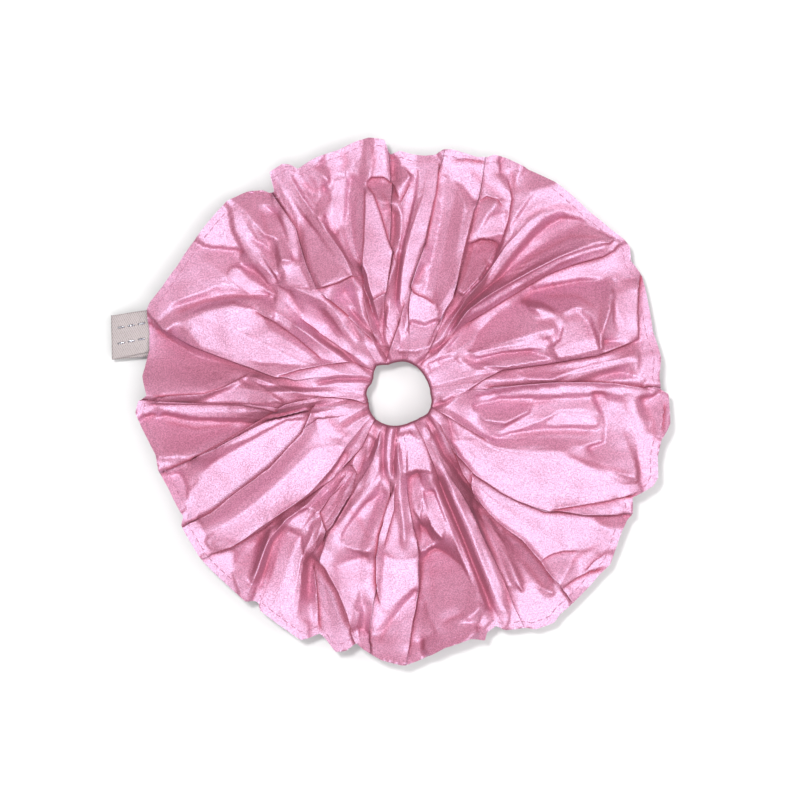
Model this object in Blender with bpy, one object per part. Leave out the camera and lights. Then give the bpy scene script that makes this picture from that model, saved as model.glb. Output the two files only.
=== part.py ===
"""Oversized gathered scrunchie: a tube of crisp taffeta drawn up on a loop of flat elastic.

Metres, +Z up. The origin is the middle of the footprint on the surface that the ring lies on.
The tube is cut at the plane through the middle of the loop, so that one half can be drawn away
from the other along +X, as two fingers open the loop against its elastic.
"""

import math

import bmesh
import bpy
from mathutils import Vector

MM = 0.001

# Loop and rim
HOLE_R = 10.6 * MM            # radius of the open middle, elastic relaxed
RIM_R_STEP_DEG = 7.5          # spacing of the rim radii below, from +X towards +Y
RIM_R_MM = (                  # the uneven rim: distance from the middle of the loop
    84.2, 81.8, 82.2, 83.4, 83.4, 83.6, 81.9, 81.9, 80.9, 80.0, 78.2, 77.0,
    77.2, 79.6, 78.8, 78.2, 80.4, 79.6, 80.6, 80.6, 80.3, 81.8, 81.0, 79.6,
    79.6, 81.4, 78.6, 78.1, 78.4, 80.6, 81.1, 80.9, 81.4, 81.9, 81.6, 82.0,
    84.4, 81.9, 79.3, 80.3, 84.8, 85.2, 84.1, 83.8, 81.3, 82.2, 83.6, 84.0,
)
# Section of the flattened tube: share of the way from hole to rim, and height in mm
BELOW = ((0.00, 6.2), (0.035, 3.4), (0.10, 1.2), (0.18, 0.0), (0.45, 0.0), (0.74, 0.0), (0.90, 2.6), (0.97, 4.9))
ABOVE = ((1.00, 7.6), (0.97, 9.6), (0.90, 14.0), (0.74, 20.5), (0.45, 25.5), (0.20, 25.2), (0.08, 23.0), (0.02, 20.0))
WALL = 2.2 * MM               # depth of one gathered layer of cloth
SEAM_INSET = 4.6 * MM         # the two layers are closed together this far in from the rim
SPLIT_GAP = 0.4 * MM          # between the two halves where the tube is cut
SEGMENTS = 24                 # steps round each half

# Elastic
BAND_W = 7.0 * MM             # flat braided elastic, on edge
BAND_T = 1.0 * MM
BAND_R = 13.5 * MM            # inner face of the band
BAND_Z = 9.5 * MM             # lower edge of the band
LAP_STEP = 1.45 * MM          # one end laps outside the other
LAP_A_DEG = 196.0             # where the inner end stops
LAP_B_DEG = 164.0             # where the outer end stops
LAP_RAMP_DEG = (202.0, 216.0)

# Threads
THREAD_R = 0.22 * MM
THREAD_GAP = 0.34 * MM
EDGE_STITCH_INSET = 2.6 * MM  # rim seam thread, in from the rim
CLOSING_DEG = 112.5           # where the two ends of the strip meet

# Label: a ribbon folded into a loop and caught in the rim seam
LABEL_Y = 18.6 * MM           # middle of the label, from the middle of the loop
LABEL_W = 15.2 * MM
LABEL_REACH = 90.3 * MM       # from the middle of the loop to the fold of the ribbon
LABEL_Z = 7.4 * MM
RIBBON_T = 0.35 * MM
RIBBON_GAP = 0.5 * MM
LABEL_ROOT_GAP = 1.2 * MM     # clear of the rim, with room to flip

PINK = (0.735, 0.335, 0.520)
ROSE = (0.620, 0.250, 0.400)
IVORY = (0.800, 0.780, 0.745)
WHITE = (0.780, 0.775, 0.760)


def clear_scene():
    for obj in list(bpy.data.objects):
        bpy.data.objects.remove(obj, do_unlink=True)


def material(name, colour, roughness):
    mat = bpy.data.materials.new(name)
    mat.use_nodes = True
    bsdf = mat.node_tree.nodes["Principled BSDF"]
    bsdf.inputs["Base Color"].default_value = (*colour, 1.0)
    bsdf.inputs["Roughness"].default_value = roughness
    bsdf.inputs["Metallic"].default_value = 0.0
    return mat


def rim_radius(deg):
    """The rim's distance from the middle, through the listed radii with a smooth periodic curve."""
    t = (deg % 360.0) / RIM_R_STEP_DEG
    i, f = int(t), t - int(t)
    n = len(RIM_R_MM)
    p0, p1, p2, p3 = (RIM_R_MM[(i + k) % n] for k in (-1, 0, 1, 2))
    v = 0.5 * (2 * p1 + (p2 - p0) * f + (2 * p0 - 5 * p1 + 4 * p2 - p3) * f * f
               + (3 * p1 - p0 - 3 * p2 + p3) * f ** 3)
    return v * MM


def outer_section(deg):
    """(radius, height) points of the tube's outside, out along the underside and back over the top."""
    rim = rim_radius(deg)
    return [(HOLE_R + s * (rim - HOLE_R), z * MM) for s, z in (*BELOW, *ABOVE)]


def inner_section(deg):
    """The hollow of the tube: the outside set in by one gathered layer, and closed short of the rim."""
    rim = rim_radius(deg)
    near, far = HOLE_R + WALL, rim - SEAM_INSET
    points = []
    for k, (s, z) in enumerate((*BELOW, *ABOVE)):
        r = HOLE_R + s * (rim - HOLE_R)
        r = min(max(r, near + 0.25 * s * MM), far)
        under = k < len(BELOW)
        height = z * MM + (WALL if under else -WALL)
        low, high = heights_at(deg, r)
        if s >= 0.9:                    # the layers come together at the seam
            middle, share = (low + high) / 2, {0.90: 0.52, 0.97: 0.26}.get(s, 0.0)
            height = middle + (-1 if under else 1) * share * (high - low - 2 * WALL) / 2
            r = {0.90: far - 5.2 * MM, 0.97: far - 1.6 * MM}.get(s, far)
        points.append((r, height))
    return points


def heights_at(deg, radius):
    """Heights of the underside and of the top of the tube at a distance from the middle."""
    rim = rim_radius(deg)
    share = (radius - HOLE_R) / (rim - HOLE_R)

    def along(points):
        points = sorted(points)
        if share <= points[0][0]:
            return points[0][1] * MM
        for (s0, z0), (s1, z1) in zip(points, points[1:]):
            if share <= s1:
                return (z0 + (z1 - z0) * (share - s0) / (s1 - s0)) * MM
        return points[-1][1] * MM

    return along((*BELOW, (1.0, ABOVE[0][1]))), along(ABOVE)


def polar(deg, r, z):
    a = math.radians(deg)
    return Vector((r * math.cos(a), r * math.sin(a), z))


# The footprint's middle is the origin: the loop's middle sits a little off it.
_rim = [polar(d, rim_radius(d), 0.0) for d in range(0, 360, 1)]
_low_x = min(-LABEL_REACH - SPLIT_GAP / 2, min(p.x for p in _rim))
LOOP = Vector((-(_low_x + max(p.x for p in _rim) + SPLIT_GAP / 2) / 2,
               -(min(p.y for p in _rim) + max(p.y for p in _rim)) / 2, 0.0))


def link(name, mesh, mat, parent, smooth_deg=40.0):
    obj = bpy.data.objects.new(name, mesh)
    bpy.context.scene.collection.objects.link(obj)
    mesh.materials.append(mat)
    obj.parent = parent
    if isinstance(mesh, bpy.types.Mesh):
        mesh.shade_smooth()
        mesh.set_sharp_from_angle(angle=math.radians(smooth_deg))
    return obj


def finish_mesh(name, bm):
    bmesh.ops.recalc_face_normals(bm, faces=bm.faces)
    mesh = bpy.data.meshes.new(name)
    bm.to_mesh(mesh)
    bm.free()
    return mesh


def half_tube(name, start_deg):
    """Half of the gathered tube, hollow, with open ends at the cut."""
    bm = bmesh.new()
    outside, inside = [], []
    for k in range(SEGMENTS + 1):
        deg = start_deg + 180.0 * k / SEGMENTS
        outside.append([bm.verts.new(polar(deg, r, z)) for r, z in outer_section(deg)])
        inside.append([bm.verts.new(polar(deg, r, z)) for r, z in inner_section(deg)])
    n = len(outside[0])
    for rings, flip in ((outside, False), (inside, True)):
        for a, b in zip(rings, rings[1:]):
            for i in range(n):
                j = (i + 1) % n
                face = (a[i], b[i], b[j], a[j])
                bm.faces.new(face[::-1] if flip else face)
    for a, b in ((outside[0], inside[0]), (inside[-1], outside[-1])):
        for i in range(n):
            j = (i + 1) % n
            bm.faces.new((a[i], a[j], b[j], b[i]))
    return finish_mesh(name, bm)


def band(name, stations):
    """A flat strip on edge. Each station is (angle, inner radius)."""
    bm = bmesh.new()
    rings = []
    for deg, r in stations:
        rings.append([bm.verts.new(polar(deg, rr, zz)) for rr, zz in (
            (r, BAND_Z), (r + BAND_T, BAND_Z), (r + BAND_T, BAND_Z + BAND_W), (r, BAND_Z + BAND_W))])
    for a, b in zip(rings, rings[1:]):
        for i in range(4):
            j = (i + 1) % 4
            bm.faces.new((a[i], b[i], b[j], a[j]))
    bm.faces.new(rings[0])
    bm.faces.new(rings[-1][::-1])
    return finish_mesh(name, bm)


def thread(name, points):
    curve = bpy.data.curves.new(name, "CURVE")
    curve.dimensions = "3D"
    curve.bevel_depth = THREAD_R
    curve.bevel_resolution = 1
    curve.use_fill_caps = True
    spline = curve.splines.new("POLY")
    spline.points.add(len(points) - 1)
    for p, co in zip(spline.points, points):
        p.co = (*co, 1.0)
    return curve


def on_top(deg, radius):
    """A point where a thread lies on the upper layer."""
    return polar(deg, radius, heights_at(deg, radius)[1] + THREAD_R + THREAD_GAP)


def steps(first, last, count):
    return [first + (last - first) * k / count for k in range(count + 1)]


def lap_radius(deg):
    """Inner face of the strip's second end: it climbs outside the first end before it meets it."""
    low, high = LAP_RAMP_DEG
    t = min(max((high - deg) / (high - low), 0.0), 1.0)
    return BAND_R + LAP_STEP * t * t * (3 - 2 * t)


def rim_x(y):
    """Where the faceted rim lies, along X, beside the label at a given Y."""
    points = [polar(d, rim_radius(d), 0.0) for d in steps(150.0, 187.5, 5)]
    for p, q in zip(points, points[1:]):
        if q.y <= y <= p.y:
            return p.x + (q.x - p.x) * (y - p.y) / (q.y - p.y) - SPLIT_GAP / 2
    raise ValueError("the label lies past its stretch of rim")


def label_line():
    """The hinge line: the two ends of the seam that holds the label, just clear of the rim."""
    low, high = LABEL_Y - LABEL_W / 2, LABEL_Y + LABEL_W / 2
    a, b = Vector((rim_x(low), low, LABEL_Z)), Vector((rim_x(high), high, LABEL_Z))
    bulge = max((a.x + (b.x - a.x) * t) - rim_x(low + (high - low) * t) for t in steps(0.0, 1.0, 40))
    shift = Vector((-max(bulge, 0.0) - LABEL_ROOT_GAP, 0.0, 0.0))
    return a + shift, b + shift


def label_mesh(name):
    """The folded ribbon, drawn about the middle of its hinge line, with its fold towards -X."""
    a, b = label_line()
    middle = (a + b) / 2
    half = RIBBON_GAP / 2
    bend = half + RIBBON_T
    turn = [90 + 180 * k / 8 for k in range(9)]
    bm = bmesh.new()
    sides = []
    for end in (a, b):
        root = end.x - middle.x
        fold = -LABEL_REACH - SPLIT_GAP / 2 - middle.x + bend
        outline = [(root, half), (root, half + RIBBON_T)]
        outline += [(fold + bend * math.cos(math.radians(t)), bend * math.sin(math.radians(t))) for t in turn]
        outline += [(root, -half - RIBBON_T), (root, -half)]
        outline += [(fold + half * math.cos(math.radians(t)), half * math.sin(math.radians(t))) for t in turn[::-1]]
        sides.append([bm.verts.new((x, end.y - middle.y, z)) for x, z in outline])
    bm.faces.new(sides[0])
    bm.faces.new(sides[1][::-1])
    n = len(sides[0])
    for i in range(n):
        j = (i + 1) % n
        bm.faces.new((sides[0][i], sides[1][i], sides[1][j], sides[0][j]))
    return finish_mesh(name, bm)


def empty(name, location, parent=None):
    obj = bpy.data.objects.new(name, None)
    bpy.context.scene.collection.objects.link(obj)
    obj.location = location
    obj.parent = parent
    return obj


def build():
    clear_scene()
    cloth = material("pink_taffeta", PINK, 0.42)
    stitch = material("rose_thread", ROSE, 0.6)
    basting = material("white_thread", WHITE, 0.6)
    rubber = material("ivory_elastic", IVORY, 0.75)
    ribbon = material("white_ribbon", WHITE, 0.55)

    loop = empty("loop_middle", LOOP)
    left = empty("left_half", Vector((-SPLIT_GAP / 2, 0, 0)), loop)
    right = empty("right_half", Vector((SPLIT_GAP / 2, 0, 0)), loop)

    link("cover_left", half_tube("cover_left", 90.0), cloth, left)
    link("cover_right", half_tube("cover_right", 270.0), cloth, right)

    link("elastic_right", band("elastic_right", [(d, BAND_R) for d in steps(270.0, 450.0, 24)]), rubber, right)
    link("elastic_left_inner_end", band("elastic_left_inner_end", [(d, BAND_R) for d in steps(90.0, LAP_A_DEG, 16)]), rubber, left)
    link("elastic_left_outer_end", band("elastic_left_outer_end", [(d, lap_radius(d)) for d in steps(LAP_B_DEG, 270.0, 28)]), rubber, left)

    zig = []
    for k, d in enumerate(steps(LAP_B_DEG + 4, LAP_A_DEG - 4, 16)):
        z = BAND_Z + BAND_W * (0.22 if k % 2 else 0.78)
        zig.append(polar(d, lap_radius(d) + BAND_T + THREAD_GAP + THREAD_R, z))
    link("elastic_join_stitches", thread("elastic_join_stitches", zig), basting, left)

    for side, parent, first in (("left", left, 90.0), ("right", right, 270.0)):
        run = [on_top(d, rim_radius(d) - EDGE_STITCH_INSET) for d in steps(first, first + 180.0, SEGMENTS)]
        link(f"rim_seam_thread_{side}", thread(f"rim_seam_thread_{side}", run), stitch, parent)

    out = rim_radius(CLOSING_DEG)
    link("closing_seam_thread", thread("closing_seam_thread", [
        on_top(CLOSING_DEG, HOLE_R + s * (out - HOLE_R)) for s in (0.10, 0.20, 0.32, 0.45, 0.60, 0.74, 0.82, 0.90)
    ]), stitch, left)

    ends = label_line()
    hinge = empty("label_hinge", (ends[0] + ends[1]) / 2, loop)
    link("label_ribbon", label_mesh("label_ribbon"), ribbon, hinge)


build()
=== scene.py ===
"""Looks of the scrunchie: crisp pink taffeta gathered on an elastic loop, with a folded ribbon tab.

Metres, +Z up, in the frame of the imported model. Angles are degrees from +X towards +Y about the
middle of the loop, and px is a length on the picture plane: 0.3125 mm.
"""

import math

import bpy
import numpy as np
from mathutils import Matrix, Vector


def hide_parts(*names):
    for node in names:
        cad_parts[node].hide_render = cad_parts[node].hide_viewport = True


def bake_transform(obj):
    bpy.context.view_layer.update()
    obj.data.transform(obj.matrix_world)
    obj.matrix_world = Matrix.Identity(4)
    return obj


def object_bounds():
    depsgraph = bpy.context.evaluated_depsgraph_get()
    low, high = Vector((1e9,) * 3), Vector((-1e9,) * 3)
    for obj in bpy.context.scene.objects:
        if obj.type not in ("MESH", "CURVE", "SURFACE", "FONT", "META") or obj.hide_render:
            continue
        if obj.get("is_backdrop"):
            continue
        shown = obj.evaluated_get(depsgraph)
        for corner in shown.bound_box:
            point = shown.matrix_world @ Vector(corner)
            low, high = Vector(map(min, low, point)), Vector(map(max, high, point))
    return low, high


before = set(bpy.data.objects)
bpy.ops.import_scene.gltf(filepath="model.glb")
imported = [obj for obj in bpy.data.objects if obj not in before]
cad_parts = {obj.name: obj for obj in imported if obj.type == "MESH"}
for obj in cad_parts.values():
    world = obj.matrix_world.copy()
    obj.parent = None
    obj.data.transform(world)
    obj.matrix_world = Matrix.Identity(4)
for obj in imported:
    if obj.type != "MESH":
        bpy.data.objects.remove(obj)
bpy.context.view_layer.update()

MM = 0.001
PX = 0.3125 * MM
LOOP = np.array([0.003004, 0.002732, 0.0])      # middle of the hair loop
HOLE_PX = 35.0

# ---------------------------------------------------------------------------------------------
# Cover: the lines along which the cloth is folded, in order round the ring.
# Each line: kind, tuck in mm, then (px from the middle, degrees, height in mm against the mean).
# R is a ridge, V a valley, N a plain line. "<" is an edge that lies over the cloth before it,
# ">" one that lies over the cloth after it.
# ---------------------------------------------------------------------------------------------
FOLDS = [
    (">", 6, (263, 1.5, 2.0), (220, 2.6, 3.0), (180, 3.5, 3.5), (150, 4.0, 3.5), (120, 3.8, 3.0), (95, 3.2, 2.5), (70, 2.4, 2.0)),
    ("R", 0, (260, 8.8, 1.0), (230, 9.0, 1.5), (200, 7.8, 2.0), (180, 6.8, 2.0), (150, 6.0, 1.0), (120, 7.0, 0.5), (95, 8.0, 1.0), (70, 9.0, 1.5)),
    ("V", 0, (262, 13.0, -1.5), (245, 12.3, -3.0), (200, 11.2, -4.0), (160, 11.0, -4.0), (120, 12.5, -4.0), (105, 13.5, -4.5), (70, 14.0, -2.0)),
    ("N", 0, (263, 17.0, 0.5), (235, 16.5, 0.5), (200, 16.0, 0.0), (175, 16.5, 2.0), (160, 15.5, 1.5), (140, 16.0, 0.0), (105, 18.0, -0.5), (85, 22.0, -1.5), (70, 26.0, -2.0)),
    ("R", 0, (266, 26.0, 1.0), (245, 25.0, 1.5), (215, 24.5, -1.5), (178, 23.0, 3.2), (150, 20.5, 2.6), (125, 22.5, 2.6), (100, 26.0, 2.6), (82, 31.0, 2.4), (67, 35.0, 2.0)),
    ("N", 0, (266, 30.0, 0.5), (230, 30.5, -0.8), (200, 31.5, -0.6), (160, 32.0, 1.6), (140, 31.5, -1.6), (115, 32.5, -1.0), (95, 36.0, 0.0), (75, 40.0, 0.0)),
    ("V", 0, (262, 33.2, -1.0), (225, 34.8, -3.5), (200, 38.0, -4.0), (165, 40.5, -4.2), (130, 43.0, -4.4), (100, 45.0, -4.6), (75, 46.5, -4.0)),
    ("R", 0, (266, 36.5, 2.2), (215, 40.0, 3.2), (190, 42.0, 3.4), (170, 43.8, 3.4), (125, 48.6, 3.4), (95, 52.0, 3.0), (70, 52.5, 2.0)),
    ("V", 0, (262, 43.0, -0.5), (240, 43.6, -2.6), (200, 46.6, -4.2), (150, 49.6, -4.4), (125, 51.6, -3.2), (95, 54.5, -3.0), (70, 55.0, -2.0)),
    ("R", 0, (260, 49.5, 1.4), (215, 53.0, 2.8), (180, 54.4, 3.2), (140, 54.0, 3.0), (115, 55.5, 1.0), (90, 56.5, 0.0)),
    ("V", 0, (258, 63.0, -0.5), (245, 62.0, -2.0), (225, 59.8, -3.2), (195, 57.3, -3.6), (165, 56.0, -3.6), (135, 55.6, -2.0), (110, 57.0, -2.0)),
    ("N", 0, (255, 66.0, 0.5), (215, 64.0, 2.4), (195, 62.5, 1.0), (175, 61.2, -2.4), (150, 60.4, -4.2), (125, 59.3, -3.6), (95, 58.0, -2.0)),
    ("<", 5, (248, 70.0, 2.0), (215, 68.3, 3.0), (180, 67.0, 3.6), (150, 64.2, 3.8), (115, 61.0, 3.4), (85, 59.2, 3.0), (60, 58.0, 2.4)),
    ("N", 0, (247, 75.0, 0.8), (215, 74.5, -0.2), (180, 74.0, -0.6), (140, 72.5, 0.2), (112, 72.0, 1.6), (97, 71.0, 0.2), (80, 70.0, 1.4)),
    (">", 5, (246, 79.8, 2.0), (200, 79.8, 3.0), (170, 80.0, 3.2), (145, 81.0, 3.4), (110, 84.3, 3.6), (97, 84.5, 1.8), (70, 85.0, 1.6)),
    ("R", 0, (243, 82.4, 1.0), (200, 83.2, 1.8), (150, 87.0, 1.8), (120, 89.0, 1.5), (90, 90.0, 1.0)),
    ("V", 0, (242, 85.6, -1.6), (200, 85.9, -3.6), (170, 87.6, -4.0), (150, 89.4, -4.0), (120, 91.0, -3.2), (90, 93.0, -3.0)),
    ("N", 0, (240, 88.8, -0.6), (215, 88.6, -1.5), (190, 89.4, -1.8), (160, 91.0, -1.8), (130, 92.0, -2.0), (100, 95.0, -2.0)),
    ("<", 5, (250, 92.6, 2.0), (220, 92.2, 2.8), (190, 92.6, 3.0), (150, 92.9, 3.2), (130, 93.4, 3.0), (105, 97.0, 2.6), (70, 104.0, 2.0)),
    ("R", 0, (256, 97.5, 1.2), (215, 99.0, 3.4), (190, 101.0, 3.2), (160, 103.0, 3.0), (125, 106.0, 3.0), (100, 108.5, 2.4), (70, 111.0, 2.0)),
    ("V", 0, (253, 103.0, -0.6), (200, 104.8, -2.0), (160, 107.0, -2.6), (130, 107.6, -3.2), (100, 110.0, -3.6), (70, 113.0, -3.6)),
    ("N", 0, (251, 108.5, 0.4), (215, 109.0, 0.8), (175, 110.5, 0.6), (140, 109.6, -1.0)),
    ("N", 0, (249, 113.0, -1.0), (220, 112.5, -1.6), (190, 112.4, -0.6), (150, 111.0, 1.0), (125, 109.5, 0.5)),
    ("R", 0, (258, 117.2, 2.4), (220, 116.5, 3.6), (190, 115.0, 4.0), (165, 113.5, 4.2), (140, 111.4, 4.2), (124, 110.0, 3.6), (112, 112.0, 0.0), (95, 113.0, 1.0), (70, 116.0, 2.0)),
    ("N", 0, (255, 119.6, 0.4), (200, 118.6, -0.6), (165, 118.6, 0.4), (140, 118.6, 2.6), (128, 118.6, 3.0), (116, 118.6, -2.4), (95, 117.5, -1.0), (70, 119.0, 0.0)),
    ("<", 6, (247, 122.4, 2.6), (235, 122.4, 3.4), (200, 122.0, 3.4), (175, 124.2, 3.0), (145, 127.2, 2.6), (132, 128.4, 2.6), (110, 127.0, 2.4), (80, 123.0, 2.2)),
    ("N", 0, (256, 128.0, 0.6), (225, 127.0, -1.6), (200, 129.5, -2.2), (180, 133.0, -2.0), (166, 136.0, -1.6), (145, 132.5, 2.2), (120, 129.0, 2.4), (95, 128.6, 2.2), (70, 128.0, 1.6)),
    ("R", 0, (258, 134.5, 1.4), (220, 135.2, 2.2), (190, 136.8, 1.6), (167, 138.0, -1.4), (150, 137.4, 1.6), (128, 135.0, 0.4), (100, 134.0, -2.2), (75, 134.5, -2.0)),
    ("V", 0, (258, 139.5, 0.4), (205, 140.4, -1.2), (171, 140.8, -2.8), (150, 140.6, -1.0), (125, 142.0, -2.6), (95, 142.2, -4.0), (70, 141.0, -3.4)),
    ("N", 0, (257, 146.0, 0.4), (205, 145.4, 1.8), (178, 146.4, 1.2), (160, 146.6, -0.6), (140, 146.6, 1.8), (110, 147.0, 2.4), (80, 147.5, 1.8)),
    ("V", 0, (258, 152.0, 0.0), (200, 150.6, -0.8), (168, 150.4, -2.4), (140, 151.3, -3.2), (110, 153.3, -3.4), (85, 155.5, -3.2), (65, 153.0, -2.6)),
    ("R", 0, (262, 157.2, 1.0), (215, 158.6, 2.6), (180, 158.8, 3.8), (150, 159.6, 4.0), (120, 161.0, 3.4), (100, 162.0, 1.0), (80, 161.0, 2.0)),
    (">", 7, (267, 161.8, 2.4), (245, 165.0, 3.0), (215, 167.2, 3.4), (180, 168.8, 3.4), (150, 170.4, 3.2), (125, 172.6, 3.0), (105, 172.8, 2.0), (80, 169.0, 1.6)),
    ("N", 0, (256, 172.0, -0.4), (205, 172.6, -1.8), (165, 174.2, -3.0), (130, 176.2, -2.6), (100, 176.0, -2.0)),
    ("R", 0, (256, 176.6, 0.6), (220, 177.0, 0.6), (190, 178.6, 1.6), (160, 177.8, 0.8), (130, 179.0, 0.6), (100, 179.0, 0.6)),
    ("<", 4, (254, 181.2, 1.6), (200, 182.0, 2.4), (150, 183.4, 2.6), (120, 186.0, 2.2), (90, 183.0, 1.4)),
    ("R", 0, (265, 183.8, 1.4), (220, 184.8, 2.2), (180, 185.8, 2.6), (150, 187.0, 2.6), (125, 188.4, 1.8)),
    ("V", 0, (255, 190.0, -0.4), (220, 190.4, -2.8), (195, 191.6, -3.8), (165, 191.4, -4.0), (140, 190.2, -3.6), (115, 189.6, -3.0)),
    ("<", 6, (252, 198.2, 2.2), (215, 197.6, 3.0), (190, 196.6, 3.2), (165, 194.6, 3.2), (135, 191.6, 3.0), (112, 190.4, 2.6), (88, 187.0, 2.0)),
    ("N", 0, (249, 205.0, 0.2), (215, 204.6, 0.2), (165, 202.5, 0.4), (130, 199.0, 0.4), (105, 195.0, 0.6), (85, 190.0, 0.0)),
    ("<", 6, (254, 211.4, 2.2), (200, 211.5, 3.0), (165, 210.6, 3.2), (145, 209.0, 3.2), (120, 205.0, 2.8), (103, 200.5, 2.4), (85, 196.0, 1.8), (60, 200.0, 1.0)),
    ("N", 0, (256, 216.0, 0.8), (205, 217.0, -0.6), (165, 217.5, -0.4), (125, 216.0, 0.8), (95, 213.0, 1.4), (70, 211.0, 1.0)),
    (">", 5, (257, 219.9, 1.8), (235, 221.5, 2.6), (210, 223.0, 3.0), (185, 224.0, 3.2), (165, 225.0, 3.2), (140, 227.0, 3.0), (115, 229.4, 2.8), (95, 230.6, 2.2), (70, 229.0, 1.6)),
    ("V", 0, (257, 226.6, -0.6), (220, 226.2, -3.4), (190, 226.0, -3.2), (165, 226.8, -2.8), (130, 229.8, -2.6)),
    ("R", 0, (258, 233.2, 1.8), (225, 230.8, 2.6), (195, 228.2, 2.4), (170, 227.8, 1.0), (140, 230.4, -0.8), (110, 231.6, -2.0)),
    ("V", 0, (257, 235.0, -1.2), (215, 231.8, -2.2), (190, 229.6, -2.4), (165, 229.6, -1.2), (148, 231.4, -1.6), (115, 232.6, -3.4), (90, 233.0, -3.4)),
    ("N", 0, (263, 240.0, 0.8), (220, 237.6, 1.6), (185, 235.0, 2.6), (162, 234.4, 3.2), (148, 234.6, 2.2), (136, 234.8, -1.2), (110, 236.0, -1.2), (90, 236.5, -2.0)),
    ("R", 0, (266, 245.0, 0.8), (225, 242.0, 1.4), (190, 238.8, 2.2), (165, 238.0, 2.4), (150, 237.8, 0.8), (135, 238.5, -2.4), (105, 239.5, -3.4), (85, 239.0, -2.0)),
    ("V", 0, (257, 250.0, -1.2), (240, 248.4, -3.0), (222, 246.0, -4.2), (190, 241.0, -3.8), (160, 240.6, -1.2), (135, 241.2, -2.8), (105, 241.8, -2.0)),
    ("N", 0, (267, 256.0, 0.2), (238, 252.8, -2.8), (210, 247.5, -3.6), (192, 243.0, -3.4), (160, 241.6, -2.0)),
    ("<", 5, (252, 259.8, 2.0), (236, 257.2, 2.6), (206, 252.0, 3.0), (193, 246.6, 3.2), (184, 243.4, 3.2), (150, 242.6, 3.0), (115, 243.6, 2.6), (90, 243.6, 1.8)),
    ("R", 0, (257, 261.4, 1.4), (222, 258.8, 1.4), (196, 252.0, 2.2), (182, 248.4, 3.0), (150, 247.6, 3.2), (125, 249.0, 3.0), (105, 251.4, 2.6), (80, 253.0, 2.0)),
    ("N", 0, (258, 262.4, 0.2), (222, 260.8, 0.2), (190, 257.6, -0.8), (160, 255.0, -2.0), (130, 256.0, -2.2), (105, 258.0, -1.0), (80, 258.0, 0.0)),
    (">", 4, (260, 263.6, 1.2), (240, 262.6, 2.0), (215, 262.9, 2.4), (190, 262.6, 2.6), (150, 261.0, 2.8), (120, 262.4, 2.6), (98, 263.7, 2.0), (70, 263.5, 1.4)),
    ("R", 0, (268, 267.6, 1.0), (220, 268.0, 0.8), (180, 267.6, 2.2), (150, 266.8, 1.2), (115, 267.4, 1.0)),
    (">", 4, (270, 271.4, 1.6), (215, 274.0, 2.4), (190, 275.6, 2.6), (165, 276.4, 2.8), (142, 276.4, 2.4), (110, 275.0, 1.2), (80, 274.0, 0.8)),
    ("V", 0, (263, 277.4, -0.4), (220, 278.6, -2.2), (180, 279.6, -2.6), (140, 279.4, -1.8), (100, 278.0, -1.8), (75, 279.0, -1.0)),
    ("N", 0, (255, 285.0, 0.2), (220, 285.0, -0.6), (180, 285.4, -0.2), (130, 285.0, 0.6), (90, 285.0, 0.8)),
    ("R", 0, (251, 291.0, 1.6), (200, 290.8, 2.2), (150, 290.6, 2.4), (100, 291.0, 2.2), (60, 292.0, 1.8)),
    ("V", 0, (252, 293.3, -0.8), (200, 293.4, -1.4), (150, 293.7, -1.6), (100, 294.3, -1.4), (60, 295.4, -1.2)),
    ("R", 0, (260, 295.9, 1.2), (200, 296.0, 1.8), (150, 296.5, 2.0), (100, 297.4, 1.8), (60, 298.6, 1.4)),
    (">", 4, (266, 298.2, 1.8), (240, 298.4, 2.4), (205, 299.6, 2.8), (160, 300.6, 3.0), (130, 302.0, 2.8), (100, 303.6, 2.6), (70, 304.0, 1.8)),
    ("N", 0, (274, 302.6, 0.4), (225, 302.2, -0.6), (190, 303.4, -1.0), (160, 304.4, -1.2), (125, 304.6, -2.0)),
    ("V", 0, (273, 306.2, 0.0), (225, 306.2, -2.4), (190, 306.8, -3.4), (160, 305.8, -3.4), (130, 305.2, -3.6), (100, 305.4, -3.6)),
    ("<", 5, (272, 309.4, 2.0), (250, 309.6, 2.4), (195, 310.2, 3.2), (170, 308.4, 3.2), (138, 305.8, 3.0), (115, 306.6, 2.6), (90, 306.8, 2.2), (65, 306.8, 1.6)),
    ("N", 0, (270, 317.0, 0.6), (235, 317.4, 0.0), (200, 315.6, 0.6), (165, 313.2, 1.0), (130, 310.4, 1.0), (100, 308.6, 0.4)),
    ("<", 6, (262, 332.6, 2.4), (255, 332.0, 2.8), (230, 328.4, 3.2), (205, 324.6, 3.6), (188, 321.6, 3.8), (165, 318.8, 3.8), (140, 315.6, 3.6), (110, 311.8, 3.2), (80, 309.6, 2.6), (62, 309.6, 2.0)),
    ("N", 0, (262, 337.6, 0.6), (230, 335.0, 1.2), (190, 330.5, 1.4), (150, 325.5, 1.6), (110, 321.0, 1.6), (80, 318.0, 0.6), (62, 317.0, -0.4)),
    ("R", 0, (270, 342.0, 1.0), (230, 340.4, 1.4), (190, 338.6, 1.8), (150, 335.0, 2.4), (115, 330.4, 2.8), (95, 328.8, 2.4), (75, 326.0, 0.0), (60, 325.0, 1.6)),
    ("V", 0, (268, 347.0, 0.2), (215, 346.4, -0.8), (175, 345.6, -1.8), (140, 342.0, -2.4), (105, 335.4, -2.8), (85, 334.0, -2.4), (60, 335.0, -1.6)),
    ("N", 0, (267, 352.4, 0.6), (200, 352.6, 0.8), (165, 351.4, 0.6), (130, 349.4, -0.8), (100, 346.0, -1.2), (75, 343.0, -0.4)),
    ("N", 0, (267, 357.4, 0.6), (200, 358.0, 0.4), (150, 357.6, 0.2), (110, 354.0, -1.4), (80, 351.0, 0.4)),
]

MEAN = ((28, 16.4), (33, 17.6), (36, 18.3), (41, 18.6), (50, 18.8), (60, 18.9), (90, 18.9), (130, 18.6), (170, 17.9), (205, 16.7), (232, 15.0), (250, 13.6), (262, 12.6), (285, 11.0))

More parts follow.
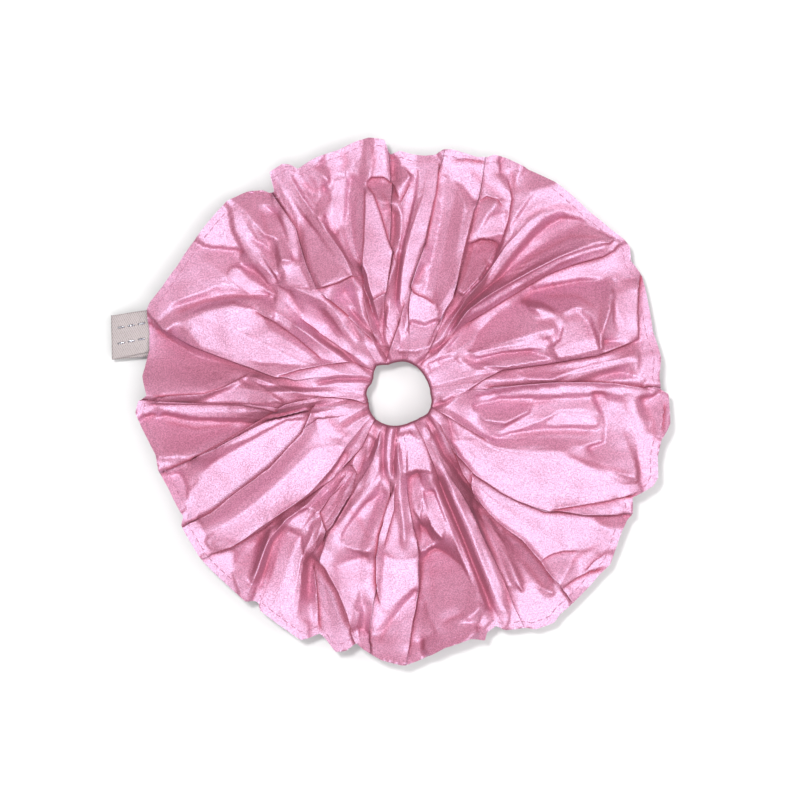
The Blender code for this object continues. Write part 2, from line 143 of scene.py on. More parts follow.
# Outline of the rim, as corners: degrees, px from the middle.
RIM = [
    (0, 268), (1, 260), (4, 259), (8, 263), (14, 260), (20, 264), (26, 269.5), (30, 266.5), (32.6, 273), (34, 272.5), (38, 267),
    (44, 262.5), (54, 262.5), (60, 259), (66, 259), (68.5, 257), (70, 251.5), (72, 248.5), (78, 249.5), (80, 248), (81.5, 242),
    (84, 239.5), (87, 239.5), (90, 243), (92.5, 239), (93.5, 254), (97, 258), (100, 256), (104, 251.5), (110, 250.5), (114.5, 247),
    (115.5, 254), (117, 258.5), (120.5, 257.5), (121.8, 238), (123, 240), (124, 246.5), (127, 254), (132, 259), (136, 258), (142, 257),
    (150, 257), (156, 261), (160, 266.5), (161.8, 267), (166, 259), (170, 255), (174, 256.5), (176, 258), (178, 255.5), (180.5, 252),
    (181.5, 261), (184, 265), (187, 261), (190, 256), (194, 250.5), (198, 252.5), (202, 249.5), (209.5, 248), (211, 254.5), (216, 256),
    (220, 258), (228, 257), (233.5, 257.5), (235, 252), (236, 252), (237, 257), (240, 258.5), (244, 261), (248, 264.5), (249.5, 260),
    (251.5, 252), (253, 255), (256, 265), (258, 262), (260, 252), (262, 257), (266, 265), (271, 270), (274, 266), (277, 261), (280, 256),
    (286, 253), (287.5, 256), (289, 260), (290, 253), (292.5, 250), (294, 258), (298, 264), (300, 271), (304, 275), (306, 271.5),
    (312, 270), (318, 268.5), (321, 270), (324, 265), (328, 260), (331, 259), (332.5, 261), (334, 258), (336, 253), (337.5, 259),
    (340, 268), (342, 270), (346, 264), (350, 264), (352, 268), (354, 271), (357, 269),
]
# Outline of the hole, the same way.
HOLE = [
    (0, 32), (30, 31.5), (60, 33.5), (80, 34.5), (100, 33.5), (112, 33), (120, 35.5), (130, 38.5), (140, 36), (150, 32.5), (160, 32),
    (170, 34.5), (180, 35.5), (190, 34), (205, 36), (225, 37), (250, 35), (270, 33), (290, 31.5), (310, 32.5), (325, 35.5), (345, 34.5),
]

# Smaller folds across the panels. Each: kind, height in mm, px that it reaches to its left and to
# its right, then its points as px right of and below the picture's corner; the middle of the loop
# is at (400, 394). E is an edge whose left side lies over the right, R a ridge, V a valley.
CREASES = [
    # upper left
    ("R", 1.6, 26, 16, (232, 202), (250, 235), (268, 262), (280, 282)),
    ("V", 1.2, 14, 14, (260, 204), (268, 235), (277, 272)),
    ("R", 1.6, 14, 16, (278, 208), (281, 240), (281, 280)),
    ("R", 1.2, 12, 10, (236, 262), (258, 264), (280, 282)),
    ("V", 1.4, 10, 12, (238, 270), (256, 273), (276, 294), (284, 300)),
    ("R", 1.3, 12, 9, (276, 279), (300, 291), (322, 302), (338, 314)),
    ("V", 1.1, 8, 9, (283, 286), (295, 303), (303, 320)),
    ("V", 1.8, 20, 12, (170, 316), (205, 301), (240, 296), (270, 299)),
    ("R", 1.2, 12, 24, (162, 330), (192, 314), (238, 303), (262, 314)),
    ("E", 1.6, 16, 12, (252, 310), (275, 322), (300, 340), (326, 363)),
    ("E", 1.2, 12, 8, (298, 316), (315, 330), (334, 343), (352, 356)),
    ("E", 1.4, 14, 10, (320, 294), (342, 312), (362, 330), (376, 346)),
    ("R", 1.2, 8, 8, (318, 312), (326, 309), (336, 322), (348, 340)),
    ("V", 1.2, 7, 7, (346, 318), (356, 334), (364, 344)),
    ("V", 1.3, 9, 9, (300, 180), (314, 191), (328, 186)),
    ("R", 1.3, 10, 10, (300, 166), (312, 176), (326, 196), (318, 208)),
    ("V", 1.1, 7, 8, (320, 204), (319, 214), (326, 224)),
    ("E", 2.0, 16, 12, (312, 292), (338, 284), (352, 277), (363, 280)),
    ("E", 1.4, 10, 8, (362, 278), (364, 300), (370, 324), (378, 346)),
    # left
    ("R", 1.0, 10, 10, (186, 348), (189, 336), (196, 322)),
    ("E", 2.0, 22, 16, (250, 373), (226, 387), (205, 394), (180, 395), (150, 397)),
    ("V", 1.3, 7, 7, (238, 379), (262, 388), (292, 405)),
    ("R", 1.2, 7, 7, (246, 375), (276, 385), (306, 395), (328, 397)),
    ("E", 1.3, 10, 12, (146, 404), (200, 404), (240, 405), (280, 411)),
    ("V", 1.6, 26, 30, (160, 420), (195, 428), (240, 424)),
    ("E", 1.6, 18, 12, (312, 398), (286, 405), (260, 420), (220, 444), (198, 456), (160, 473)),
    ("R", 0.9, 9, 12, (186, 474), (190, 490), (186, 512)),
    ("E", 1.5, 12, 8, (319, 397), (312, 410), (303, 432), (290, 446), (271, 467), (240, 490), (212, 512), (188, 524)),
    ("E", 1.4, 12, 7, (276, 378), (300, 370), (330, 364), (354, 362), (376, 372)),
    ("V", 1.0, 7, 8, (290, 397), (306, 396), (330, 399), (366, 402)),
    # lower left
    ("E", 1.8, 18, 14, (206, 556), (240, 543), (262, 530), (282, 513), (310, 495), (332, 479), (346, 463)),
    ("R", 1.0, 9, 9, (204, 548), (222, 540), (244, 540)),
    ("R", 1.8, 9, 7, (246, 598), (258, 571), (265, 546), (276, 518)),
    ("V", 1.8, 5, 8, (262, 582), (268, 556), (274, 536), (286, 524)),
    ("R", 2.2, 16, 10, (276, 524), (294, 508), (312, 507), (320, 514)),
    ("R", 1.4, 16, 9, (318, 510), (312, 535), (302, 560), (300, 590)),
    ("V", 2.0, 9, 7, (314, 548), (309, 575), (308, 606)),
    ("E", 1.6, 8, 12, (320, 634), (319, 610), (316, 582), (312, 556)),
    ("E", 2.0, 14, 14, (311, 555), (325, 567), (338, 590), (347, 614), (354, 636)),
    ("E", 1.5, 8, 10, (322, 548), (326, 530), (320, 512), (330, 496), (346, 482)),
    ("R", 1.1, 8, 8, (322, 500), (336, 486), (350, 472)),
    ("E", 1.2, 9, 9, (342, 468), (352, 466), (357, 474), (352, 492)),
    ("V", 1.6, 8, 10, (314, 556), (332, 530), (350, 500), (360, 470), (368, 446)),
    ("R", 1.6, 8, 16, (326, 552), (337, 528), (354, 505), (380, 482)),
    ("R", 0.9, 6, 6, (278, 606), (286, 618), (294, 632)),
    # bottom
    ("V", 1.0, 14, 14, (345, 505), (360, 520), (372, 545)),
    ("E", 2.0, 10, 12, (394, 484), (386, 508), (378, 535), (375, 556), (375, 582), (380, 606)),
    ("R", 1.2, 8, 8, (362, 602), (358, 620), (352, 634)),
    ("E", 1.2, 7, 8, (384, 550), (388, 532), (394, 510), (396, 480)),
    ("R", 1.4, 7, 6, (396, 440), (400, 470), (401, 500), (404, 528), (404, 552)),
    ("V", 1.1, 6, 6, (382, 455), (383, 470), (390, 486), (392, 496)),
    ("E", 2.0, 18, 16, (408, 656), (413, 620), (419, 592), (420, 570), (418, 548), (414, 526)),
    ("R", 1.4, 20, 16, (420, 582), (402, 598), (388, 616), (372, 632), (356, 638)),
    ("V", 1.4, 14, 14, (396, 612), (386, 628), (378, 644)),
    ("V", 1.4, 16, 16, (412, 470), (410, 500), (416, 524)),
    ("R", 1.4, 26, 16, (424, 470), (440, 506), (458, 546), (472, 580), (486, 614)),
    ("V", 2.2, 7, 7, (431, 458), (446, 500), (462, 536), (474, 566), (486, 596), (494, 622)),
    ("R", 1.4, 7, 9, (443, 468), (456, 498), (470, 530), (481, 562), (494, 594), (504, 620)),
    ("V", 1.8, 10, 6, (452, 462), (468, 492), (480, 524), (496, 560), (506, 588), (511, 612)),
    ("R", 1.0, 6, 6, (508, 604), (504, 616), (502, 626)),
    ("V", 1.4, 10, 10, (440, 625), (450, 618), (466, 612)),
    # lower right
    ("R", 1.3, 8, 8, (468, 504), (490, 532), (508, 558), (522, 592)),
    ("V", 1.2, 8, 8, (474, 506), (498, 540), (516, 566), (528, 590)),
    ("E", 2.2, 18, 22, (448, 444), (465, 478), (474, 498), (500, 524), (522, 540), (541, 562), (556, 586)),
    ("E", 1.2, 8, 8, (470, 470), (472, 486), (476, 500)),
    ("V", 1.6, 16, 18, (520, 556), (534, 574), (548, 594)),
    ("E", 1.8, 18, 9, (438, 422), (455, 452), (475, 475), (500, 492), (522, 503), (544, 512), (570, 513), (600, 516), (630, 512)),
    ("E", 1.7, 16, 7, (546, 510), (580, 505), (606, 501), (640, 491)),
    ("R", 0.9, 6, 8, (560, 510), (596, 510), (630, 505)),
    ("E", 1.3, 12, 10, (538, 562), (552, 554), (564, 551), (580, 551)),
    ("E", 1.5, 9, 8, (560, 589), (574, 579), (590, 571), (608, 565)),
    ("V", 0.9, 12, 12, (566, 568), (582, 553), (602, 542)),
    ("R", 0.7, 8, 8, (600, 520), (610, 532), (618, 540)),
    ("E", 0.8, 7, 7, (610, 550), (594, 560), (582, 572)),
    # right
    ("R", 1.2, 16, 12, (433, 407), (450, 415), (470, 430), (490, 441), (520, 440), (552, 434)),
    ("V", 1.4, 7, 7, (440, 409), (450, 425), (455, 450)),
    ("V", 0.9, 20, 20, (490, 400), (530, 404), (560, 398)),
    ("R", 1.0, 20, 18, (530, 424), (562, 413), (598, 414)),
    ("V", 1.1, 16, 18, (510, 436), (550, 432), (596, 433)),
    ("V", 1.0, 16, 20, (560, 452), (596, 464), (632, 474)),
    ("R", 1.0, 16, 14, (622, 384), (634, 415), (642, 448), (652, 462)),
    ("V", 1.2, 12, 9, (640, 398), (652, 420), (654, 444)),
    ("E", 1.2, 9, 9, (660, 436), (662, 416), (664, 398)),
    ("E", 1.8, 18, 14, (652, 389), (602, 382), (560, 382), (520, 385), (482, 388)),
    ("E", 2.0, 18, 12, (466, 392), (482, 380), (502, 370), (540, 365), (596, 356), (640, 339)),
    ("R", 1.3, 9, 9, (540, 381), (574, 370), (600, 363), (636, 357)),
    ("V", 1.2, 7, 7, (556, 385), (600, 375), (628, 370)),
    ("R", 1.3, 9, 9, (454, 354), (462, 362), (476, 370), (494, 371)),
    ("V", 1.1, 8, 12, (458, 354), (474, 362), (496, 364)),
    ("R", 1.5, 10, 10, (524, 310), (544, 307), (557, 316), (562, 330), (556, 344), (546, 354)),
    ("V", 1.2, 8, 9, (532, 322), (548, 322), (554, 330)),
    ("R", 1.1, 20, 20, (576, 310), (584, 328), (590, 350)),
    ("R", 1.2, 14, 10, (470, 354), (510, 347), (540, 340), (560, 330)),
    ("V", 1.5, 24, 24, (540, 296), (576, 296), (600, 312)),
    ("V", 1.4, 18, 14, (600, 300), (598, 324), (604, 345)),
    ("R", 1.1, 10, 14, (616, 268), (614, 300), (626, 330)),
    ("E", 1.5, 12, 10, (638, 342), (637, 312), (638, 288), (642, 266)),
    ("R", 1.0, 8, 8, (630, 384), (640, 352), (646, 336), (652, 326)),
    # upper right
    ("R", 1.8, 9, 10, (470, 306), (500, 289), (530, 272), (560, 257), (590, 247), (614, 243)),
    ("E", 1.6, 9, 10, (462, 326), (482, 314), (520, 291), (546, 275), (576, 264), (602, 257), (618, 249)),
    ("R", 1.4, 26, 16, (480, 292), (504, 256), (530, 232), (552, 215), (580, 211)),
    ("V", 0.8, 5, 5, (520, 222), (538, 210), (560, 207), (584, 212)),
    ("V", 1.7, 16, 22, (500, 290), (530, 258), (570, 236), (606, 238)),
    ("E", 1.4, 10, 8, (500, 246), (508, 222), (512, 200), (508, 178)),
    ("E", 1.4, 9, 9, (476, 204), (486, 197), (498, 200), (504, 210)),
    ("E", 2.0, 16, 22, (464, 248), (480, 239), (492, 240), (503, 246)),
    ("V", 1.8, 12, 10, (482, 252), (488, 266), (478, 284)),
    ("E", 1.5, 9, 9, (452, 302), (457, 282), (463, 254), (470, 226), (476, 204)),
    ("V", 1.2, 8, 8, (440, 322), (466, 300), (484, 290)),
    ("E", 1.0, 8, 8, (450, 161), (466, 160), (490, 163)),
    ("V", 0.8, 8, 8, (464, 166), (484, 184), (506, 200)),
    ("V", 1.2, 10, 9, (510, 168), (514, 184), (518, 194)),
    # top
    ("E", 1.6, 14, 12, (437, 306), (426, 299), (414, 294), (409, 284)),
    ("E", 1.6, 10, 8, (424, 252), (430, 226), (437, 190), (440, 158)),
    ("V", 1.6, 7, 7, (426, 262), (420, 276), (412, 288)),
    ("E", 2.0, 16, 20, (364, 186), (372, 178), (384, 178), (394, 186), (399, 204)),
    ("E", 1.8, 14, 12, (397, 264), (388, 240), (381, 215), (374, 196), (366, 184)),
    ("V", 2.0, 9, 9, (378, 186), (388, 204), (394, 226), (396, 246)),
    ("R", 1.4, 7, 9, (396, 200), (402, 216), (401, 240), (396, 264), (386, 290)),
    ("E", 1.5, 10, 8, (365, 186), (364, 240), (362, 276), (366, 302)),
    ("E", 1.2, 8, 8, (388, 292), (378, 298), (368, 304)),
    ("V", 1.5, 7, 7, (384, 296), (382, 316), (376, 334)),
    ("E", 1.4, 9, 9, (412, 180), (404, 196), (399, 206)),
    ("V", 1.6, 7, 9, (390, 160), (394, 180), (398, 200)),
    ("R", 1.2, 8, 8, (414, 160), (416, 178), (414, 204)),
    ("V", 1.0, 6, 6, (340, 150), (346, 160), (342, 174)),
    ("R", 1.0, 12, 12, (362, 142), (366, 158), (364, 180)),
    ("V", 1.0, 10, 8, (370, 142), (374, 160), (372, 174)),
    ("R", 1.1, 9, 9, (350, 176), (345, 200), (342, 226)),
    # round the hole, where the gathers run in under its edge
    ("V", 1.7, 4, 4, (312, 333), (332, 347), (352, 359), (374, 374)),
    ("E", 1.4, 10, 8, (406, 298), (399, 325), (390, 350), (384, 368)),
    ("E", 1.5, 8, 8, (418, 370), (428, 351), (438, 330), (448, 308)),
    ("V", 1.7, 4, 4, (412, 368), (426, 357), (444, 343), (464, 325), (486, 308)),
    ("R", 0.9, 7, 7, (424, 366), (440, 357), (456, 350)),
    ("V", 1.4, 4, 4, (420, 410), (434, 406), (446, 402), (460, 392)),
    ("E", 1.6, 8, 7, (416, 397), (434, 408), (450, 418), (470, 430), (490, 442)),
    ("V", 1.7, 4, 4, (418, 402), (429, 420), (436, 436), (444, 454), (462, 478)),
    ("E", 1.4, 6, 6, (409, 410), (417, 426), (425, 442), (433, 462), (440, 484)),
    ("R", 1.2, 5, 5, (424, 424), (429, 432), (430, 442)),
    ("V", 1.7, 4, 4, (399, 414), (396, 432), (394, 456), (393, 482)),
    ("V", 1.6, 4, 4, (389, 416), (384, 436), (383, 458), (384, 482)),
    ("R", 1.0, 5, 5, (381, 428), (378, 446), (372, 462)),
    ("E", 1.6, 7, 6, (332, 476), (350, 460), (362, 446), (370, 428), (380, 410)),
    ("V", 1.5, 4, 4, (384, 412), (376, 428), (374, 444), (366, 464)),
    ("E", 1.5, 7, 7, (314, 397), (332, 397), (352, 399), (368, 404), (384, 408)),
    ("V", 1.5, 4, 4, (384, 402), (362, 414), (348, 422), (334, 432)),
    ("V", 1.4, 4, 4, (312, 384), (338, 379), (362, 379), (384, 384)),
    ("V", 0.9, 6, 6, (322, 412), (336, 426), (352, 440)),
    ("V", 1.6, 4, 4, (390, 366), (379, 345), (365, 327), (346, 305)),
    ("V", 1.5, 4, 4, (391, 366), (383, 342), (383, 320), (387, 300)),
]

# Flat panels of cloth between the folds. Each: its tilt in degrees towards +X and towards +Y, and its
# corners in px as above. The cloth keeps its folds and edges between them.
PANELS = [
    # upper left
    (-3, 2, (196, 240), (228, 206), (234, 232), (243, 250), (225, 249), (205, 246)),
    (-4, 17, (152, 303), (196, 240), (205, 246), (243, 250), (238, 262), (224, 284), (205, 293), (175, 303), (160, 318)),
    (-2, 0, (229, 205), (237, 206), (250, 228), (262, 247), (274, 272), (279, 284), (268, 283), (255, 265), (243, 250), (234, 232)),
    (11, 33, (241, 203), (252, 201), (264, 205), (276, 214), (277, 240), (265, 236), (254, 224), (246, 213)),
    (8, 31, (252, 238), (264, 243), (277, 255), (279, 280), (270, 268)),
    (-4, 3, (224, 280), (232, 266), (242, 268), (254, 282), (268, 291), (240, 290)),
    (12, 37, (240, 264), (252, 268), (264, 277), (276, 296), (266, 291), (252, 280)),
    (-4, 34, (158, 324), (176, 306), (205, 297), (240, 293), (270, 294), (266, 300), (240, 300), (210, 304), (185, 316), (166, 334)),
    (-5, 0, (180, 326), (205, 310), (235, 304), (252, 308), (275, 325), (305, 348), (322, 364), (300, 366), (262, 364), (235, 357), (200, 348), (192, 336)),
    (14, 37, (256, 307), (275, 320), (300, 338), (326, 363), (318, 362), (295, 344), (270, 328)),
    (-4, 40, (256, 303), (276, 296), (274, 319), (265, 312)),
    (-4, 11, (277, 286), (291, 292), (302, 318), (290, 330), (275, 318)),
    (-12, 5, (282, 205), (289, 212), (297, 230), (301, 250), (300, 262), (293, 260), (288, 240), (282, 222)),
    (14, 36, (277, 214), (282, 224), (288, 245), (294, 262), (282, 263), (278, 245)),
    (-6, 9, (283, 266), (300, 265), (312, 290), (300, 289), (285, 281)),
    (-16, 3, (270, 177), (286, 165), (292, 176), (302, 196), (316, 216), (334, 242), (347, 259), (361, 279), (350, 276), (330, 251), (312, 226), (296, 204), (282, 185)),
    (-17, 25, (303, 216), (316, 230), (330, 251), (343, 270), (338, 278), (322, 289), (312, 272), (304, 242)),
    (-13, 1, (293, 178), (302, 168), (314, 162), (322, 174), (318, 184), (326, 196), (318, 206), (318, 220), (305, 198)),
    (12, 38, (313, 165), (328, 170), (329, 183), (320, 174)),
    (13, 34, (324, 185), (330, 200), (323, 222), (316, 212), (320, 200)),
    # top
    (-7, 2, (330, 166), (345, 151), (360, 143), (360, 178), (351, 174), (338, 178), (330, 190)),
    (4, 4, (334, 181), (348, 177), (344, 200), (342, 225), (336, 237), (327, 228), (331, 205)),
    (-28, 14, (350, 177), (361, 183), (362, 230), (362, 268), (352, 255), (346, 228), (347, 200)),
    (-25, 11, (362, 143), (373, 144), (375, 160), (369, 181), (362, 178)),
    (-2, 0, (377, 141), (384, 143), (390, 160), (394, 194), (387, 184), (377, 178), (371, 180), (376, 160)),
    (-4, 40, (368, 185), (376, 180), (388, 185), (398, 203), (388, 206), (378, 200)),
    (10, 12, (366, 190), (372, 190), (382, 215), (392, 245), (396, 262), (390, 285), (372, 299), (367, 290), (364, 240)),
    (-39, 15, (385, 210), (398, 214), (402, 225), (401, 245), (396, 258), (388, 235)),
    (-39, 15, (392, 156), (400, 160), (411, 178), (401, 189), (394, 175)),
    (-2, 1, (393, 154), (405, 152), (414, 160), (414, 177), (404, 169)),
    (8, 11, (405, 200), (413, 180), (417, 166), (417, 185), (412, 205), (405, 235), (400, 255), (401, 225)),
    (8, 10, (421, 160), (435, 157), (439, 162), (436, 190), (428, 220), (420, 255), (410, 285), (398, 320), (388, 346), (379, 346), (388, 320), (398, 280), (406, 240), (416, 195)),
    (-25, 14, (443, 174), (458, 186), (466, 205), (460, 240), (450, 290), (438, 312), (436, 292), (424, 290), (430, 262), (440, 215)),
    (-7, 1, (412, 285), (424, 298), (437, 304), (440, 317), (425, 324), (411, 320), (406, 338), (398, 350), (406, 318), (410, 298)),
    (-7, 21, (411, 322), (425, 326), (438, 320), (430, 346), (418, 352), (398, 352)),
    (-2, 0, (474, 205), (480, 208), (470, 235), (463, 262), (455, 300), (440, 330), (433, 345), (440, 312), (452, 285), (460, 250), (468, 220)),
    (-2, 0, (441, 153), (452, 151), (485, 161), (500, 180), (508, 200), (498, 200), (484, 197), (474, 203), (462, 185), (446, 169)),
    (-22, 11, (478, 206), (498, 203), (488, 216), (476, 236), (470, 232)),
    (7, 10, (490, 216), (506, 212), (503, 235), (488, 238), (477, 240)),
    (-4, 39, (466, 252), (480, 242), (494, 241), (500, 250), (490, 268), (478, 284), (462, 296), (458, 290)),
    (-20, 10, (506, 167), (516, 172), (518, 185), (513, 200), (509, 182)),
    (-1, 25, (518, 180), (540, 173), (552, 180), (532, 194), (516, 218), (506, 245), (511, 212)),
    # upper right
    (-2, 0, (534, 194), (556, 181), (580, 200), (600, 215), (616, 236), (598, 230), (580, 216), (560, 212), (546, 218), (528, 236), (508, 260), (492, 282), (480, 294), (496, 256), (512, 226)),
    (-19, 31, (494, 288), (510, 264), (530, 241), (548, 224), (562, 217), (580, 222), (598, 234), (608, 242), (585, 245), (560, 252), (530, 267), (505, 284), (480, 302)),
    (-2, 0, (470, 310), (500, 291), (530, 273), (560, 258), (590, 248), (612, 244), (611, 248), (588, 253), (562, 263), (532, 279), (500, 298), (474, 315)),
    (3, 7, (500, 306), (525, 292), (556, 274), (600, 262), (618, 252), (635, 268), (640, 279), (628, 280), (606, 279), (580, 279), (552, 284), (530, 289), (514, 303)),
    (-25, 37, (522, 300), (530, 291), (548, 286), (576, 281), (606, 281), (611, 291), (609, 312), (601, 335), (600, 350), (590, 318), (578, 308), (562, 314), (546, 305)),
    (-18, 29, (500, 308), (522, 302), (535, 316), (551, 321), (555, 330), (530, 336), (500, 344), (468, 351), (478, 330)),
    (12, 2, (526, 306), (540, 307), (556, 314), (562, 328), (558, 340), (550, 346), (556, 332), (552, 321), (540, 314)),
    (6, 16, (564, 318), (576, 310), (588, 320), (596, 340), (598, 350), (570, 357), (556, 358), (552, 348), (560, 340)),
    (3, 4, (468, 354), (510, 346), (545, 338), (551, 345), (540, 349), (510, 351), (478, 357)),
    (-4, 40, (476, 359), (505, 352), (530, 351), (555, 359), (530, 363), (500, 368), (484, 367)),
    (7, 9, (614, 293), (634, 291), (638, 310), (636, 338), (618, 338), (612, 318)),
    (-4, 40, (603, 340), (616, 341), (635, 342), (602, 355)),
    (-4, 26, (612, 281), (636, 281), (634, 290), (613, 292)),
    (-1, 14, (641, 272), (650, 300), (655, 328), (659, 352), (655, 380), (648, 382), (638, 360), (641, 330), (645, 305)),
    # right
    (-4, 40, (510, 373), (560, 366), (600, 359), (636, 346), (635, 355), (600, 364), (570, 371), (552, 380), (530, 380)),
    (-2, 0, (556, 380), (580, 369), (605, 363), (636, 356), (638, 361), (610, 369), (580, 377), (562, 383)),
    (-4, 40, (585, 379), (620, 371), (634, 375), (642, 381), (610, 381)),
    (-4, 1, (476, 396), (520, 389), (570, 385), (620, 387), (650, 392), (640, 397), (600, 394), (560, 395), (520, 396), (488, 402)),
    (-4, 32, (472, 406), (500, 397), (532, 398), (528, 412), (505, 424), (484, 421)),
    (-5, 15, (534, 399), (590, 396), (600, 415), (585, 409), (560, 411), (544, 420), (520, 430), (496, 436), (508, 424), (530, 413)),
    (-4, 4, (545, 421), (560, 412), (585, 410), (598, 420), (596, 426), (570, 426), (548, 427)),
    (-4, 25, (492, 441), (510, 432), (545, 428), (580, 428), (600, 430), (602, 442), (580, 447), (550, 447), (520, 447)),
    (-12, 18, (592, 393), (604, 393), (622, 430), (634, 462), (636, 480), (616, 473), (598, 461), (586, 448), (603, 441), (604, 420)),
    (-5, 0, (490, 445), (520, 450), (560, 450), (590, 466), (620, 482), (640, 486), (610, 496), (570, 503), (545, 508), (522, 502), (500, 491), (478, 474), (462, 455), (452, 440), (476, 440)),
    (-2, 0, (623, 393), (634, 396), (640, 420), (648, 445), (655, 460), (656, 472), (640, 487), (637, 470), (634, 440), (626, 410)),
    (-13, 21, (640, 397), (654, 397), (660, 415), (655, 432), (645, 415)),
    # lower right
    (-6, 0, (452, 452), (466, 474), (478, 481), (500, 497), (525, 508), (548, 514), (590, 517), (616, 535), (612, 548), (580, 550), (558, 552), (542, 558), (525, 537), (500, 521), (480, 498), (468, 482)),
    (-2, 0, (552, 509), (600, 504), (628, 500), (630, 507), (600, 511), (560, 511)),
    (-4, 33, (597, 518), (620, 518), (626, 516), (612, 526), (603, 523)),
    (-7, 21, (543, 561), (560, 555), (575, 552), (570, 566), (560, 585), (551, 573)),
    (-4, 4, (577, 572), (600, 560), (611, 553), (605, 566), (586, 575)),
    (13, 37, (502, 530), (522, 542), (538, 561), (550, 576), (553, 594), (540, 588), (525, 570), (514, 552)),
    (-5, 2, (515, 588), (530, 580), (545, 596), (556, 601), (545, 615), (535, 627), (518, 621), (512, 605)),
    (-2, 0, (432, 474), (444, 503), (458, 533), (470, 565), (483, 600), (488, 616), (477, 597), (461, 560), (447, 524), (436, 497)),
    (-2, 0, (446, 480), (462, 507), (474, 537), (486, 567), (498, 592), (507, 611), (499, 616), (491, 595), (479, 565), (467, 535), (455, 506)),
    (8, 22, (463, 496), (472, 506), (486, 531), (500, 556), (511, 585), (506, 588), (493, 560), (480, 530)),
    (-25, 22, (476, 507), (490, 521), (505, 546), (520, 581), (523, 591), (515, 583), (500, 555), (486, 529)),
    # bottom
    (-20, 30, (422, 562), (432, 546), (446, 552), (462, 565), (476, 590), (480, 608), (470, 616), (455, 624), (441, 640), (428, 615), (422, 590)),
    (-15, 26, (419, 522), (428, 530), (436, 545), (423, 553)),
    (7, 16, (424, 492), (434, 490), (446, 524), (442, 540), (430, 526)),
    (-21, 14, (408, 478), (418, 470), (424, 492), (420, 520), (410, 505)),
    (-4, 10, (398, 436), (410, 432), (425, 446), (432, 472), (418, 470), (404, 474)),
    (-2, 2, (384, 553), (400, 560), (416, 556), (418, 575), (415, 588), (400, 600), (388, 610), (381, 605), (381, 580)),
    (-2, 26, (417, 588), (416, 603), (410, 640), (407, 657), (396, 658), (380, 649), (370, 640), (386, 628), (401, 606)),
    (2, 12, (336, 566), (352, 558), (367, 554), (372, 575), (360, 590), (353, 610), (352, 630), (345, 606)),
    (-13, 23, (340, 532), (352, 511), (368, 501), (385, 491), (380, 510), (373, 535), (370, 552), (355, 550), (345, 546)),
    (-2, 0, (322, 549), (334, 531), (350, 509), (370, 486), (387, 463), (382, 480), (362, 506), (345, 529), (334, 556)),
    (-20, 28, (319, 500), (335, 481), (350, 471), (355, 479), (350, 499), (338, 519), (326, 534), (325, 515)),
    (-2, 0, (284, 521), (300, 511), (315, 511), (313, 520), (302, 530), (288, 528)),
    (-38, 17, (309, 525), (320, 513), (321, 530), (316, 547), (310, 557), (305, 545)),
    (-4, 9, (272, 542), (290, 531), (302, 536), (304, 560), (300, 600), (296, 628), (280, 619), (263, 611), (263, 580), (270, 556)),
    (-13, 10, (313, 562), (325, 571), (338, 593), (347, 615), (349, 631), (338, 646), (323, 630), (319, 600)),
    # lower left
    (7, 27, (237, 560), (245, 547), (262, 536), (267, 532), (261, 550), (252, 575), (241, 589), (235, 575)),
    (-2, 1, (209, 557), (225, 553), (236, 551), (232, 575), (237, 589), (225, 584)),
    (-4, 7, (204, 542), (220, 528), (250, 506), (285, 475), (312, 448), (340, 444), (348, 455), (330, 477), (306, 494), (280, 511), (255, 529), (235, 541)),
    (-2, 0, (187, 528), (203, 521), (206, 540), (202, 550)),
    (-4, 2, (192, 488), (212, 462), (250, 440), (290, 418), (304, 420), (298, 436), (270, 462), (240, 486), (210, 508), (190, 518)),
    (-2, 1, (214, 452), (262, 423), (290, 408), (310, 402), (303, 418), (286, 420), (248, 440)),
    (3, 22, (165, 477), (182, 473), (184, 490), (182, 506)),
    (-2, 0, (144, 406), (200, 407), (240, 409), (276, 413), (262, 418), (200, 418), (165, 412)),
    (-4, 35, (152, 421), (165, 414), (190, 420), (240, 421), (256, 421), (235, 435), (210, 450), (185, 458), (162, 451)),
    (-2, 0, (161, 465), (185, 459), (200, 455), (188, 466), (163, 473)),
    (-21, 5, (152, 402), (180, 399), (205, 399), (232, 388), (250, 379), (262, 386), (284, 402), (260, 403), (220, 403)),
    (-4, 40, (157, 330), (178, 344), (200, 356), (230, 364), (262, 376), (240, 378), (215, 391), (195, 395), (160, 395), (149, 384), (147, 370), (152, 345)),
    # round the hole
    (-9, 17, (428, 364), (452, 356), (464, 370), (486, 377), (470, 390), (442, 402), (435, 385)),
    (-2, 0, (314, 413), (345, 406), (364, 412), (350, 430), (340, 440), (319, 436)),
]

MIDDLE = (400.0, 394.0)                         # px of the loop's middle on the picture plane
LABEL_AT = 166.0                                # degrees round the rim


def smooth01(x):
    x = np.clip(x, 0.0, 1.0)
    return x * x * (3 - 2 * x)


def spread(angles, gap):
    """Angles in order round the ring, moved as little as needed to stay a gap apart."""
    a = angles.copy()
    for _ in range(400):
        d = np.roll(a, -1) - a
        d[-1] += 360.0
        short = np.maximum(gap - d, 0.0) * 0.5
        if short.max() < 1e-4:
            break
        a -= short * 0.9
        a += np.roll(short, 1) * 0.9
    return a


